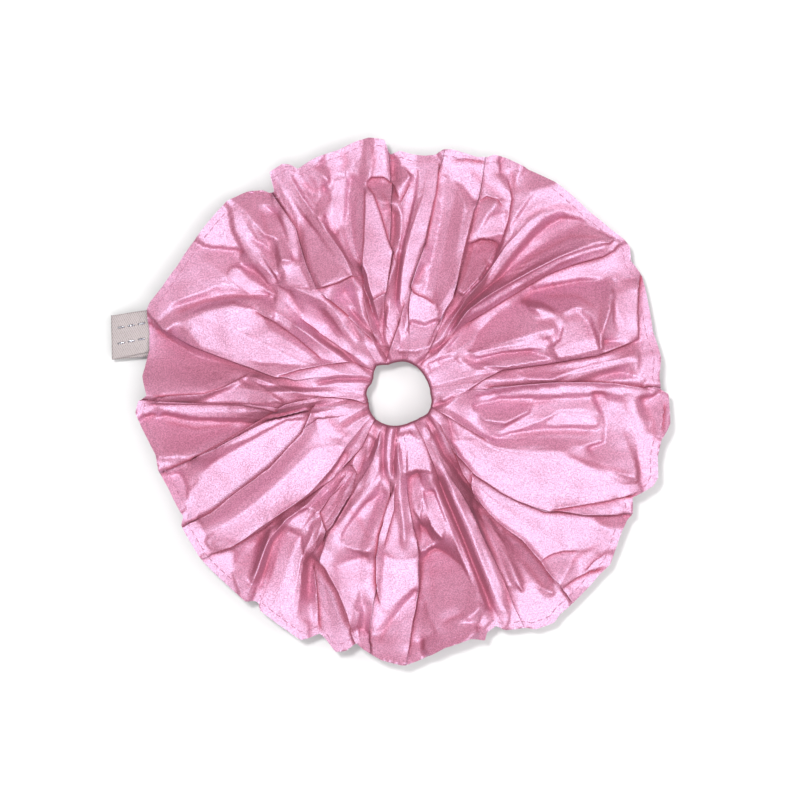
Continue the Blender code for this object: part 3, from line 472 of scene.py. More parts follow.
def fold_lines(rows):
    """Angle, radius and height of every fold line at each share of the way from hole to rim."""
    ang, rad, hgt, kinds, tucks = [], [], [], [], []
    for kind, tuck, *pts in FOLDS:
        r = np.array([p[0] for p in pts], float)[::-1]
        a = np.array([p[1] for p in pts], float)[::-1]
        h = np.array([p[2] for p in pts], float)[::-1]
        rim = r[-1]
        rr = HOLE_PX + rows * (rim - HOLE_PX)
        ang.append(np.interp(rr, r, a))
        hgt.append(np.interp(rr, r, h))
        rad.append(rr)
        kinds.append(kind)
        tucks.append(tuck)
    ang, rad, hgt = np.array(ang), np.array(rad), np.array(hgt)
    even = ang[:, -1].mean() - 180 + 360 * np.arange(len(ang)) / len(ang)
    even += (ang[:, -1] - even).mean()
    for j in range(len(rows)):
        px = rad[:, j].mean()
        pull = smooth01((100 - px) / 75) * 0.7
        a = ang[:, j] * (1 - pull) + even * pull
        gap = min(1.15 / (px * 0.3125) * 57.3, 2.9)
        ang[:, j] = spread(a, gap)
    return ang, rad, hgt, kinds, tucks


def round_table(table, degrees):
    """Value of a table of (degrees, value) at any angle."""
    a = np.array([p[0] for p in table], float)
    v = np.array([p[1] for p in table], float)
    return np.interp(np.mod(degrees, 360), np.append(a, 360 + a[0]), np.append(v, v[0]))


def to_outline(top, rows, hidden):
    """Moves the columns out or in so that rim and hole follow their outlines."""
    deg = np.degrees(np.arctan2(top[..., 1], top[..., 0]))
    r = np.hypot(top[..., 0], top[..., 1])
    rim = round_table(RIM, deg[:, -1]) * 0.3125 - hidden * 1.6
    hole = round_table(HOLE, deg[:, 0]) * 0.3125
    out = (rim - r[:, -1])[:, None] * smooth01((rows - 0.45) / 0.55)[None] + (hole - r[:, 0])[:, None] * (1 - smooth01(rows / 0.2))[None]
    top = top.copy()
    top[..., :2] *= ((r + out) / r)[..., None]
    return top


def press_creases(top):
    """Presses the smaller folds into the top of the cover: height, slip sideways, and the painted shade each point gets
    from lying in a fold.
    """
    x = MIDDLE[0] + top[..., 0] / 0.3125
    y = MIDDLE[1] - top[..., 1] / 0.3125
    lift = np.zeros_like(x)
    side = np.zeros(x.shape + (2,))
    crease_shade = np.zeros_like(x)
    for kind, height, left, right, *pts in CREASES:
        p = np.array(pts, float)
        seg = p[1:] - p[:-1]
        size = np.hypot(seg[:, 0], seg[:, 1])
        start = np.concatenate([[0], np.cumsum(size)])
        total = start[-1]
        reach = max(left, right) + 4
        lo, hi = p.min(0) - reach, p.max(0) + reach
        pick = np.nonzero((x > lo[0]) & (x < hi[0]) & (y > lo[1]) & (y < hi[1]))
        px, py = x[pick], y[pick]
        best = np.full(px.shape, 1e9)
        signed, along = np.zeros_like(best), np.zeros_like(best)
        nx, ny = np.zeros_like(best), np.zeros_like(best)
        for k in range(len(seg)):
            ux, uy = seg[k] / size[k]
            vx, vy = px - p[k, 0], py - p[k, 1]
            t = np.clip(vx * ux + vy * uy, 0, size[k])
            d = np.hypot(vx - t * ux, vy - t * uy)
            cross = -(ux * vy - uy * vx)
            near = d < best
            best = np.where(near, d, best)
            signed = np.where(near, np.where(cross >= 0, d, -d), signed)
            along = np.where(near, start[k] + t, along)
            nx, ny = np.where(near, uy, nx), np.where(near, -ux, ny)
        tail = min(14.0, total * 0.3)
        fade = smooth01(along / tail) * smooth01((total - along) / tail)
        over_left = np.clip(1 - signed / left, 0, 1) * (signed >= 0)
        over_right = np.clip(1 + signed / right, 0, 1) * (signed < 0)
        if kind == "E":
            turn = smooth01((signed + 1.3) / 2.6)
            high = np.clip(1 - np.maximum(signed, 0) / left, 0, 1) ** 1.5
            low = 0.25 * np.clip(1 + np.minimum(signed, 0) / right, 0, 1) ** 1.4 + 0.8 * np.exp(np.minimum(signed, 0) / 1.8)
            lift[pick] += fade * height * (turn * high - (1 - turn) * low)
            slip = fade * (3.2 * (1 - turn) * np.clip(1 + signed / 8.0, 0, 1) - 1.8 * turn * np.clip(1 - signed / 6.0, 0, 1))
            side[pick] += np.stack([slip * nx, slip * ny], -1)
            # painted shade: a dark line along the foot of each edge, where the cloth passes under it
            crease_shade[pick] = np.maximum(crease_shade[pick], fade * min(height / 1.6, 1.0) * np.exp(-((signed + 1.2) / 1.9) ** 2))
        else:
            sign = 1.0 if kind == "R" else -1.0
            lift[pick] += fade * sign * height * (over_left + over_right) ** 1.25
            if kind == "V":
                # painted shade along the bottom of each valley
                crease_shade[pick] = np.maximum(crease_shade[pick], 0.45 * fade * min(height / 1.8, 1.0) * np.exp(-(signed / 2.6) ** 2))
    return lift, side * np.array([0.3125, -0.3125]), crease_shade


def inside(x, y, corners):
    """Which points lie inside a polygon."""
    within = np.zeros(x.shape, bool)
    for (x0, y0), (x1, y1) in zip(corners, corners[1:] + corners[:1]):
        if y0 != y1:
            within ^= ((y0 > y) != (y1 > y)) & (x < (x1 - x0) * (y - y0) / (y1 - y0) + x0)
    return within


def seen_from_above(top, step, x0, y0, nx, ny):
    """Height of the highest cloth on a grid of px, and each point's place on that grid."""
    dense = np.stack([top, (top + np.roll(top, -1, 0)) / 2], 1).reshape(-1, *top.shape[1:])
    dense = np.concatenate([dense, (dense[:, 1:] + dense[:, :-1]) / 2], 1)
    ix = np.clip(np.rint((MIDDLE[0] + dense[..., 0] / 0.3125 - x0) / step).astype(int), 0, nx - 1)
    iy = np.clip(np.rint((MIDDLE[1] - dense[..., 1] / 0.3125 - y0) / step).astype(int), 0, ny - 1)
    high = np.full((ny, nx), -1e3)
    np.maximum.at(high, (iy, ix), dense[..., 2])
    x = (MIDDLE[0] + top[..., 0] / 0.3125 - x0) / step
    y = (MIDDLE[1] - top[..., 1] / 0.3125 - y0) / step
    return high, np.clip(x, 0, nx - 1.001), np.clip(y, 0, ny - 1.001)


def read_grid(grid, x, y):
    """Values of a grid between its points."""
    i, j = x.astype(int), y.astype(int)
    u, v = x - i, y - j
    return (grid[j, i] * (1 - u) + grid[j, i + 1] * u) * (1 - v) + (grid[j + 1, i] * (1 - u) + grid[j + 1, i + 1] * u) * v


TURNS = 4


def tilt_panels(top, keep=0.25):
    """Height to add to the top of the cover so that each panel lies flat and faces its own way."""
    step, x0, y0, nx, ny = 1.5, 126.0, 128.0, 368, 363
    cell = step * 0.3125
    high, x, y = seen_from_above(top, step, x0, y0, nx, ny)
    known = high > -1e2
    cloth = known.copy()
    for k in range(6):
        near, count = np.zeros_like(high), np.zeros_like(high)
        for dy, dx in ((0, 1), (0, -1), (1, 0), (-1, 0)):
            near += np.roll(np.where(known, high, 0), (dy, dx), (0, 1))
            count += np.roll(known, (dy, dx), (0, 1))
        fill = ~known & (count > 0)
        high[fill] = near[fill] / count[fill]
        known |= fill
        if k < 3:
            cloth |= fill & (count > 1)
    gx, gy = np.meshgrid(x0 + step * np.arange(nx), y0 + step * np.arange(ny))
    index = np.full((ny, nx), -1)
    slope = np.zeros((len(PANELS) + 1, 2))
    for k, (east, north, *corners) in enumerate(PANELS):
        index[inside(gx, gy, corners)] = k
        slope[k] = -math.tan(math.radians(east)), math.tan(math.radians(north))
    r = np.hypot(gx - MIDDLE[0], gy - MIDDLE[1])
    rim = round_table(RIM, np.degrees(np.arctan2(MIDDLE[1] - gy, gx - MIDDLE[0])))
    for _ in range(9):                                  # the outer panels run on to the rim
        for way in ((0, 1), (0, -1), (1, 0), (-1, 0)):
            beside = np.roll(index, way, (0, 1))
            index = np.where((index < 0) & (beside >= 0) & (r > rim - 18), beside, index)
    weights, rises, owners = [], [], []
    for axis in (1, 0):
        d = np.diff(high, axis=axis)
        a = index[:, :-1] if axis else index[:-1]
        b = index[:, 1:] if axis else index[1:]
        both = (cloth[:, :-1] & cloth[:, 1:]) if axis else (cloth[:-1] & cloth[1:])
        same = (a == b) & (a >= 0)
        steep = 1 / (1 + (d / cell / 0.9) ** 4)
        w = np.where(same, steep, np.where((a < 0) & (b < 0), 0.10, 0.04)) * both
        weights.append(w + 1e-5)
        rises.append(d)
        owners.append(np.where(same & both, a, len(PANELS)))
    tab = np.exp(-((np.mod(np.degrees(np.arctan2(MIDDLE[1] - gy, gx - MIDDLE[0])), 360) - LABEL_AT) / 7.0) ** 4)
    hold = 0.0002 + (0.002 + 0.03 * tab) * smooth01((r - rim + 9) / 9) + 0.04 * smooth01((44 - r) / 7)

    def apply(v):
        out = hold * v
        q = weights[0] * np.diff(v, axis=1)
        out[:, 1:] += q
        out[:, :-1] -= q
        q = weights[1] * np.diff(v, axis=0)
        out[1:] += q
        out[:-1] -= q
        return out

    # a panel that its neighbours hold back is turned further, until it faces its own way
    sol = np.zeros_like(high)
    asked = slope.copy()
    for _ in range(TURNS):
        rhs = np.zeros_like(high)
        for k, (w, d, own) in enumerate(zip(weights, rises, owners)):
            q = w * np.where(own < len(PANELS), asked[own, k] * cell - d * (1 - keep), 0.0)
            (rhs[:, 1:] if k == 0 else rhs[1:])[...] += q
            (rhs[:, :-1] if k == 0 else rhs[:-1])[...] -= q
        res = rhs - apply(sol)
        way = res.copy()
        rr = (res * res).sum()
        for _ in range(330):
            aw = apply(way)
            alpha = rr / (way * aw).sum()
            sol += alpha * way
            res -= alpha * aw
            new = (res * res).sum()
            if new < 1e-7:
                break
            way = res + way * (new / rr)
            rr = new
        for k, (w, d, own) in enumerate(zip(weights, rises, owners)):
            rise = (d + np.diff(sol, axis=1 - k)) / cell
            total = np.bincount(own.ravel(), (w * rise).ravel(), len(PANELS) + 1)
            share = np.bincount(own.ravel(), w.ravel(), len(PANELS) + 1)
            short = slope[:, k] - total / np.maximum(share, 1e-9)
            asked[:-1, k] = np.clip(asked[:-1, k] + 0.8 * short[:-1], -1.0, 1.0)
    return read_grid(sol, x, y)


def slack(top):
    """Shallow unevenness of the cloth between the folds, in mm."""
    rng = np.random.default_rng(7)
    out = np.zeros(top.shape[:2])
    for size, height in ((5, 0.010), (6, 0.012), (7, 0.014), (9, 0.020), (11, 0.024), (13, 0.028), (17, 0.034), (21, 0.040)):
        for _ in range(3):
            a, shift = rng.uniform(0, 2 * np.pi, 2)
            out += height * np.sin((top[..., 0] * math.cos(a) + top[..., 1] * math.sin(a)) * 2 * np.pi / size + shift + 1.4 * np.sin(top[..., 1] / 9.0 + shift))
    return out


def hollow_shade(top):
    """Painted shade from how far each point of the top lies below the cloth around it, from 0 to 0.55."""
    high, x, y = seen_from_above(top, 1.5, 126.0, 128.0, 368, 363)
    known = (high > -1e2).astype(float)
    total, count = np.where(known > 0, high, 0.0), known
    for axis in (0, 1):
        total = sum(np.roll(total, k, axis) for k in range(-4, 5))
        count = sum(np.roll(count, k, axis) for k in range(-4, 5))
    around = total / np.maximum(count, 1)
    return 0.55 * smooth01((read_grid(around, x, y) - top[..., 2] - 0.35) / 1.6)


def beyond_label(points):
    """How far each point lies from the ends of the label, seen from above, and how far inside the rim there, in mm."""
    x = points[..., 0] - (160 - MIDDLE[0]) * 0.3125
    y = np.abs(points[..., 1] - (MIDDLE[1] - 330) * 0.3125) - 24 * 0.3125
    return np.hypot(np.maximum(x, 0), np.maximum(y, 0)), np.clip(x + 14 * 0.3125, 0, 4.4)


def smooth_columns(g, times, weight=0.5):
    for _ in range(times):
        g = g * (1 - weight) + (np.roll(g, 1, 0) + np.roll(g, -1, 0)) * weight / 2
    return g


def soften(g, n_top, times, weight):
    """Evens out the top of the cover a little, in both directions."""
    g = g.copy()
    for _ in range(times):
        t = g[:, :n_top]
        near = (np.roll(t, 1, 0) + np.roll(t, -1, 0))[:, 1:-1] + t[:, 2:] + t[:, :-2]
        t[:, 1:-1] += weight * (near / 4 - t[:, 1:-1])
    return g


def cover_grid(n_top=150, n_under=36, n_wall=8, column=0.45):
    """The cover as a grid of points: round the ring, then from the hole over the top to the rim and back below."""
    rows = np.concatenate([np.linspace(0, 0.22, 34, endpoint=False), np.linspace(0.22, 0.93, n_top - 46, endpoint=False), np.linspace(0.93, 1.0, 12)])
    ang, rad, hgt, kinds, tucks = fold_lines(rows)
    mean_r, mean_z = (np.array(c, float) for c in zip(*MEAN))
    base = np.interp(rad, mean_r, mean_z)
    # the rim is pressed down where the label comes out of its seam
    base = base - 4.8 * np.exp(-((ang - LABEL_AT) / 9.0) ** 2) * smooth01((rad - 195) / 60)
    rim_fade = 1 - 0.35 * smooth01((rows - 0.86) / 0.14)
    # towards the hole the folds run together into fewer, broader ones
    broad = sum(w * np.roll(hgt, k, 0) for k, w in ((-2, 1), (-1, 2), (0, 3), (1, 2), (2, 1))) / 9
    join = 1 - smooth01((rows - 0.05) / 0.30)
    hgt = hgt * (1 - join) + 1.5 * broad * join
    hole_fade = 0.55 + 0.45 * smooth01((rows - 0.04) / 0.30)
    z = base + 0.95 * hgt * rim_fade * hole_fade

    # Each edge is two lines: the edge itself, and the hidden fold beneath it.
    A, R, Z, W = [], [], [], []
    for k, kind in enumerate(kinds):
        if kind in "<>":
            step = 1.7 * rim_fade * (1 - join)
            tuck = np.minimum(tucks[k] / (rad[k] * 0.3125) * 57.3, 8.0) * (0.10 + 0.90 * smooth01((rows - 0.06) / 0.34))
            beside = (k + 1) % len(ang) if kind == "<" else k - 1
            near = ang[beside] - ang[k] if kind == "<" else ang[k] - ang[beside]
            near = np.where(near < 0, near + 360, near)
            tuck = np.minimum(tuck, 0.72 * near)
            over = z[k] + (z[beside] - z[k]) * tuck / near
            sign = 1 if kind == "<" else -1
            hidden = (ang[k] + sign * tuck, rad[k] - 3.0 - 9.0 * smooth01((rows - 0.8) / 0.2), np.maximum(np.minimum(z[k] - step, over - 1.1 * (1 - join)), np.maximum(base[k] - 7.0, 8.1 * np.exp(-((ang[k] - LABEL_AT) / 9.0) ** 4) * smooth01((rad[k] - 215) / 15))), 1.0)
            edge = (ang[k], rad[k], z[k], 0.0)
            for line in ((hidden, edge) if kind == "<" else (edge, hidden)):
                A.append(line[0]), R.append(line[1]), Z.append(line[2]), W.append(line[3])
        else:
            A.append(ang[k]), R.append(rad[k]), Z.append(z[k]), W.append(0.0)
    A, R, Z = np.array(A), np.array(R), np.array(Z)
    n = len(A)

    # Columns of cloth between the lines: as many as the cloth there is long.
    X = R * 0.3125 * np.cos(np.radians(A))
    Y = R * 0.3125 * np.sin(np.radians(A))
    L = np.stack([X, Y, Z], -1)                         # mm, about the middle of the loop
    far = L[:, int(len(rows) * 0.55):]
    span = np.linalg.norm(np.roll(far, -1, 0) - far, axis=-1).mean(1)
    counts = np.maximum(3, np.round(span / column).astype(int))
    while counts.sum() % 4:
        counts[np.argmax(span / counts)] += 1
    cols = []
    for k in range(n):
        p0, p1, p2, p3 = (L[(k + i) % n] for i in (-1, 0, 1, 2))
        for c in range(counts[k]):
            t = c / counts[k]
            line = p1 + (p2 - p1) * t
            curve = 0.5 * (2 * p1 + (p2 - p0) * t + (2 * p0 - 5 * p1 + 4 * p2 - p3) * t * t + (3 * p1 - p0 - 3 * p2 + p3) * t ** 3)
            cols.append(line * 0.85 + curve * 0.15)
    top = np.array(cols)                                # columns, rows hole to rim, xyz
    veil = np.concatenate([np.full(c, 0.0) for c in counts])
    veil[np.concatenate([[0], np.cumsum(counts)[:-1]])] = W
    top = to_outline(smooth_columns(top, 1), rows, veil)
    lift, side, crease_shade = press_creases(top)
    lift = lift + tilt_panels(top + lift[..., None] * np.array([0, 0, 1.0]))

    # Underside: the same columns go back to the hole, pressed flat on the table.
    share = np.linspace(1.0, 0.0, n_under)
    under = []
    for s in share:
        j = np.interp(s, rows, np.arange(len(rows)))
        j0 = int(min(np.floor(j), len(rows) - 2))
        p = top[:, j0] * (1 - (j - j0)) + top[:, j0 + 1] * (j - j0)
        r = np.hypot(p[:, 0], p[:, 1])
        b = np.interp(r / 0.3125, mean_r, mean_z)
        wave = p[:, 2] - b
        low = np.interp(s, [0, 0.04, 0.12, 0.25, 0.75, 0.90, 0.97, 1.0], [7.5, 5.0, 2.6, 1.6, 1.6, 3.2, 5.4, 7.6])
        amp = np.interp(s, [0, 0.1, 0.3, 0.7, 0.9, 1.0], [0.35, 0.5, 0.35, 0.35, 0.6, 0.9])
        q = p.copy()
        zz = low + wave * amp
        q[:, 2] = 0.5 + np.log1p(np.exp((zz - 0.5) * 1.2)) / 1.2
        shrink = 1 - 0.010 * (1 - s)
        q[:, :2] *= shrink
        under.append(q)
    under = np.array(under).transpose(1, 0, 2)
    top = top.copy()
    top[..., 2] += lift + slack(top)
    # the elastic keeps the cloth up round the hole
    from_band = np.maximum(np.abs(np.hypot(top[..., 0], top[..., 1]) - 14.0) - 1.6, 0)
    top[..., 2] = np.maximum(top[..., 2], 17.2 - 1.6 * from_band)
    # the two layers part round the ends of the label
    away, inward = beyond_label(top)
    top[..., 2] = np.maximum(top[..., 2], 8.3 - 0.34 * inward - 1.1 * away)
    # painted shade: points in a crease or below the cloth around them are marked to be darkened
    crease_shade = np.maximum(crease_shade, hollow_shade(top))
    meet = top[:, -1, 2] - 0.15 - under[:, 0, 2]
    under[..., 2] = np.maximum(under[..., 2] + meet[:, None] * smooth01((share - 0.72) / 0.28)[None], 0.5)
    away, inward = beyond_label(under)
    under[..., 2] = np.minimum(under[..., 2], 6.3 - 0.34 * inward + 3.0 * away)
    top[..., :2] += side * (1 - smooth01((rows - 0.94) / 0.06))[None, :, None]
    # the wall of the hole joins the underside to the top again
    a, b = under[:, -1], top[:, 0]
    t = (np.arange(1, n_wall + 1) / (n_wall + 1))[None, :, None]
    wall = a[:, None] * (1 - t) + b[:, None] * t
    squeeze = 1 - 0.05 * np.sin(np.pi * t)
    wall[..., :2] *= squeeze
    grid = np.concatenate([top, under, wall], 1)
    shade = np.zeros(grid.shape[:2])
    shade[:, :len(rows)] = crease_shade
    # painted shade: the wall of the hole is marked dark all over
    shade[:, len(rows) + n_under:] = 0.8
    return grid, len(rows), shade


def grid_mesh(name, g, cut):
    """A mesh from a grid that closes on itself both ways, but for the open seam after row cut, with lengths in mm as UV."""
    nu, ns = g.shape[:2]
    verts = (g * MM + LOOP).reshape(-1, 3)
    rows = np.array([j for j in range(ns) if j != cut])
    i, j = (a.ravel() for a in np.meshgrid(np.arange(nu), rows, indexing="ij"))
    idx = lambda a, b: (a % nu) * ns + (b % ns)
    faces = np.stack([idx(i, j), idx(i, j + 1), idx(i + 1, j + 1), idx(i + 1, j)], -1)
    mesh = mesh_of(name, verts, faces)
    along = np.concatenate([[0], np.cumsum(np.linalg.norm(np.roll(g, -1, 0) - g, axis=-1).mean(1))])
    across = np.concatenate([[0], np.cumsum(np.linalg.norm(np.roll(g, -1, 1) - g, axis=-1).mean(0))])
    uv = mesh.uv_layers.new(name="strip")
    u = np.stack([along[i], along[i], along[i + 1], along[i + 1]], -1).ravel()
    v = np.stack([across[j], across[j + 1], across[j + 1], across[j]], -1).ravel()
    uv.data.foreach_set("uv", np.stack([u, v], -1).astype(np.float32).ravel())
    return mesh


def mesh_of(name, verts, faces, tris=()):
    """A smooth-shaded mesh of quads, and triangles where a cap narrows to a point."""
    verts, faces = np.asarray(verts, np.float32), np.asarray(faces, np.int32)
    tris = np.asarray(tris, np.int32).reshape(-1, 3)
    mesh = bpy.data.meshes.new(name)
    mesh.vertices.add(len(verts))
    mesh.vertices.foreach_set("co", verts.ravel())
    mesh.loops.add(faces.size + tris.size)
    mesh.loops.foreach_set("vertex_index", np.concatenate([faces.ravel(), tris.ravel()]))
    mesh.polygons.add(len(faces) + len(tris))
    mesh.polygons.foreach_set("loop_start", np.concatenate([np.arange(len(faces)) * 4, faces.size + np.arange(len(tris)) * 3]).astype(np.int32))
    mesh.polygons.foreach_set("loop_total", np.repeat([4, 3], [len(faces), len(tris)]).astype(np.int32))
    mesh.update()
    mesh.shade_smooth()
    return mesh


def link(name, mesh, mat):
    obj = bpy.data.objects.new(name, mesh)
    bpy.context.scene.collection.objects.link(obj)
    mesh.materials.clear()
    mesh.materials.append(mat)
    return obj


def threads(name, runs, radius, sides=6):
    """Round stitches: one closed tube with rounded ends for each run of points, in metres."""
    verts, faces = [], []
    for run in runs:
        p = np.asarray(run, float)
        d = np.gradient(p, axis=0)
        d /= np.linalg.norm(d, axis=1, keepdims=True) + 1e-12
        up = np.array([0.0, 0.0, 1.0]) if abs(d[0, 2]) < 0.9 else np.array([1.0, 0.0, 0.0])
        a = np.cross(d, up)
        a /= np.linalg.norm(a, axis=1, keepdims=True) + 1e-12
        b = np.cross(d, a)
        ends = ((p[:1] - d[:1] * radius, 0.02), (p[:1] - d[:1] * radius * 0.7, 0.7))
        tips = ((p[-1:] + d[-1:] * radius * 0.7, 0.7), (p[-1:] + d[-1:] * radius, 0.02))
        centre = np.concatenate([ends[0][0], ends[1][0], p, tips[0][0], tips[1][0]])
        width = np.concatenate([[ends[0][1], ends[1][1]], np.ones(len(p)), [tips[0][1], tips[1][1]]]) * radius
        a = np.concatenate([a[:1], a[:1], a, a[-1:], a[-1:]])
        b = np.concatenate([b[:1], b[:1], b, b[-1:], b[-1:]])
        t = np.arange(sides) / sides * 2 * np.pi
        ring = centre[:, None] + width[:, None, None] * (np.cos(t)[None, :, None] * a[:, None] + np.sin(t)[None, :, None] * b[:, None])
        base = len(verts)
        n = len(centre)
        verts.extend(ring.reshape(-1, 3))
        for k in range(n - 1):
            for s in range(sides):
                q = (s + 1) % sides
                faces.append((base + k * sides + s, base + k * sides + q, base + (k + 1) * sides + q, base + (k + 1) * sides + s))
        last = base + (n - 1) * sides
        for s in range(1, sides - 1, 2):
            faces.append((base + s + 2, base + s + 1, base + s, base))
            faces.append((last, last + s, last + s + 1, last + s + 2))
    return mesh_of(name, verts, faces)


# ---------------------------------------------------------------------------------------------
# Materials
# ---------------------------------------------------------------------------------------------
def nodes_of(name):
    mat = bpy.data.materials.new(name)
    mat.use_nodes = True
    nt = mat.node_tree
    bsdf = nt.nodes["Principled BSDF"]
    return mat, nt, bsdf


def two_tone(nt, fac, low, high, dark, light):
    ramp = nt.nodes.new("ShaderNodeValToRGB")
    ramp.color_ramp.elements[0].position = low
    ramp.color_ramp.elements[0].color = (*dark, 1)
    ramp.color_ramp.elements[1].position = high
    ramp.color_ramp.elements[1].color = (*light, 1)
    nt.links.new(fac, ramp.inputs["Fac"])
    return ramp.outputs["Color"]


def bump_by(nt, bsdf, height, strength, distance):
    bump = nt.nodes.new("ShaderNodeBump")
    bump.inputs["Strength"].default_value = strength
    bump.inputs["Distance"].default_value = distance
    nt.links.new(height, bump.inputs["Height"])
    nt.links.new(bump.outputs["Normal"], bsdf.inputs["Normal"])


def noise(nt, coords, scale, detail=2.0):
    tex = nt.nodes.new("ShaderNodeTexNoise")
    tex.inputs["Scale"].default_value = scale
    tex.inputs["Detail"].default_value = detail
    nt.links.new(coords, tex.inputs["Vector"])
    return tex.outputs["Fac"]


def taffeta():
    """Fine-grained satin taffeta: rose in itself, with a broad lavender sheen, and painted shade and reflection where
    the cloth lies in a fold.
    """
    mat, nt, bsdf = nodes_of("pink_taffeta")
    coords = nt.nodes.new("ShaderNodeTexCoord").outputs["Object"]
    grain = noise(nt, coords, 2700.0, 2.0)
    # painted shade: the fold attribute mixes the cloth's colour towards a dark rose in creases, hollows, steep walls
    # and the hole's wall
    fold = nt.nodes.new("ShaderNodeAttribute")
    fold.attribute_name = "fold"
    painted_shade_mix = nt.nodes.new("ShaderNodeMix")
    painted_shade_mix.data_type = "RGBA"
    nt.links.new(fold.outputs["Fac"], painted_shade_mix.inputs["Factor"])
    nt.links.new(two_tone(nt, grain, 0.38, 0.63, (0.265, 0.045, 0.072), (0.535, 0.164, 0.248)), painted_shade_mix.inputs[6])
    # the painted shade colour
    painted_shade_mix.inputs[7].default_value = (0.45, 0.074, 0.112, 1)
    nt.links.new(painted_shade_mix.outputs[2], bsdf.inputs["Base Color"])
    bump_by(nt, bsdf, grain, 0.6, 0.00014)
    dull = nt.nodes.new("ShaderNodeMapRange")
    dull.inputs["To Min"].default_value = 0.57
    dull.inputs["To Max"].default_value = 1.0
    nt.links.new(fold.outputs["Fac"], dull.inputs["Value"])
    # single threads shine more and less
    glint = nt.nodes.new("ShaderNodeMapRange")
    glint.inputs["From Min"].default_value = 0.38
    glint.inputs["From Max"].default_value = 0.63
    glint.inputs["To Min"].default_value = 0.05
    glint.inputs["To Max"].default_value = -0.04
    nt.links.new(grain, glint.inputs["Value"])
    both = nt.nodes.new("ShaderNodeMath")
    both.operation = "ADD"
    nt.links.new(dull.outputs["Result"], both.inputs[0])
    nt.links.new(glint.outputs["Result"], both.inputs[1])
    nt.links.new(both.outputs[0], bsdf.inputs["Roughness"])
    # painted shade and reflection: far into a fold the cloth only sees itself, so it is made partly metallic and its
    # gloss takes the cloth's own colour
    inward = nt.nodes.new("ShaderNodeMapRange")
    inward.inputs["To Max"].default_value = 0.85
    nt.links.new(fold.outputs["Fac"], inward.inputs["Value"])
    nt.links.new(inward.outputs["Result"], bsdf.inputs["Metallic"])
    bsdf.inputs["IOR"].default_value = 3.45
    bsdf.inputs["Specular IOR Level"].default_value = 0.5
    bsdf.inputs["Specular Tint"].default_value = (0.70, 0.71, 1.0, 1)
    bsdf.inputs["Sheen Weight"].default_value = 0.03
    bsdf.inputs["Sheen Roughness"].default_value = 0.45
    bsdf.inputs["Sheen Tint"].default_value = (1.0, 0.82, 0.95, 1)
    return mat


def sewing_thread(name, dark, light):
    """Twisted thread."""
    mat, nt, bsdf = nodes_of(name)
    coords = nt.nodes.new("ShaderNodeTexCoord").outputs["Object"]
    twist = nt.nodes.new("ShaderNodeTexWave")
    twist.bands_direction = "DIAGONAL"
    twist.inputs["Scale"].default_value = 900.0
    twist.inputs["Distortion"].default_value = 1.5
    nt.links.new(coords, twist.inputs["Vector"])
    nt.links.new(two_tone(nt, twist.outputs["Fac"], 0.2, 0.8, dark, light), bsdf.inputs["Base Color"])
    bump_by(nt, bsdf, twist.outputs["Fac"], 0.5, 0.0001)
    bsdf.inputs["Roughness"].default_value = 0.55
    bsdf.inputs["Sheen Weight"].default_value = 0.2
    return mat


def woven_elastic():
    """Flat braided elastic: ribs along it, crossed by fine weft."""
    mat, nt, bsdf = nodes_of("ivory_elastic")
    coords = nt.nodes.new("ShaderNodeTexCoord")
    weft = nt.nodes.new("ShaderNodeTexWave")
    weft.bands_direction = "X"
    weft.inputs["Scale"].default_value = 3.2
    weft.inputs["Distortion"].default_value = 0.6
    nt.links.new(coords.outputs["UV"], weft.inputs["Vector"])
    fuzz = noise(nt, coords.outputs["Object"], 1800.0, 3.0)
    both = nt.nodes.new("ShaderNodeMath")
    both.operation = "MULTIPLY_ADD"
    nt.links.new(weft.outputs["Fac"], both.inputs[0])
    both.inputs[1].default_value = 0.6
    nt.links.new(fuzz, both.inputs[2])
    nt.links.new(two_tone(nt, both.outputs[0], 0.3, 1.1, (0.58, 0.55, 0.50), (0.90, 0.88, 0.84)), bsdf.inputs["Base Color"])
    bump_by(nt, bsdf, both.outputs[0], 0.6, 0.0002)
    bsdf.inputs["Roughness"].default_value = 0.8
    bsdf.inputs["Sheen Weight"].default_value = 0.2
    return mat


def ribbon_satin():
    """White ribbon with a fine slanting rib."""
    mat, nt, bsdf = nodes_of("white_ribbon")
    coords = nt.nodes.new("ShaderNodeTexCoord")
    turn = nt.nodes.new("ShaderNodeMapping")
    turn.inputs["Rotation"].default_value = (0, 0, math.radians(28))
    nt.links.new(coords.outputs["UV"], turn.inputs["Vector"])
    rib = nt.nodes.new("ShaderNodeTexWave")
    rib.bands_direction = "X"
    rib.inputs["Scale"].default_value = 0.55
    rib.inputs["Distortion"].default_value = 0.5
    rib.inputs["Detail"].default_value = 1.0
    nt.links.new(turn.outputs["Vector"], rib.inputs["Vector"])
    fuzz = noise(nt, coords.outputs["Object"], 2200.0, 2.0)
    both = nt.nodes.new("ShaderNodeMath")
    both.operation = "MULTIPLY_ADD"
    nt.links.new(rib.outputs["Fac"], both.inputs[0])
    both.inputs[1].default_value = 0.7
    nt.links.new(fuzz, both.inputs[2])
    nt.links.new(two_tone(nt, both.outputs[0], 0.35, 1.1, (0.155, 0.130, 0.131), (0.345, 0.296, 0.297)), bsdf.inputs["Base Color"])
    bump_by(nt, bsdf, both.outputs[0], 0.5, 0.00015)
    bsdf.inputs["Roughness"].default_value = 0.5
    bsdf.inputs["Sheen Weight"].default_value = 0.1
    return mat


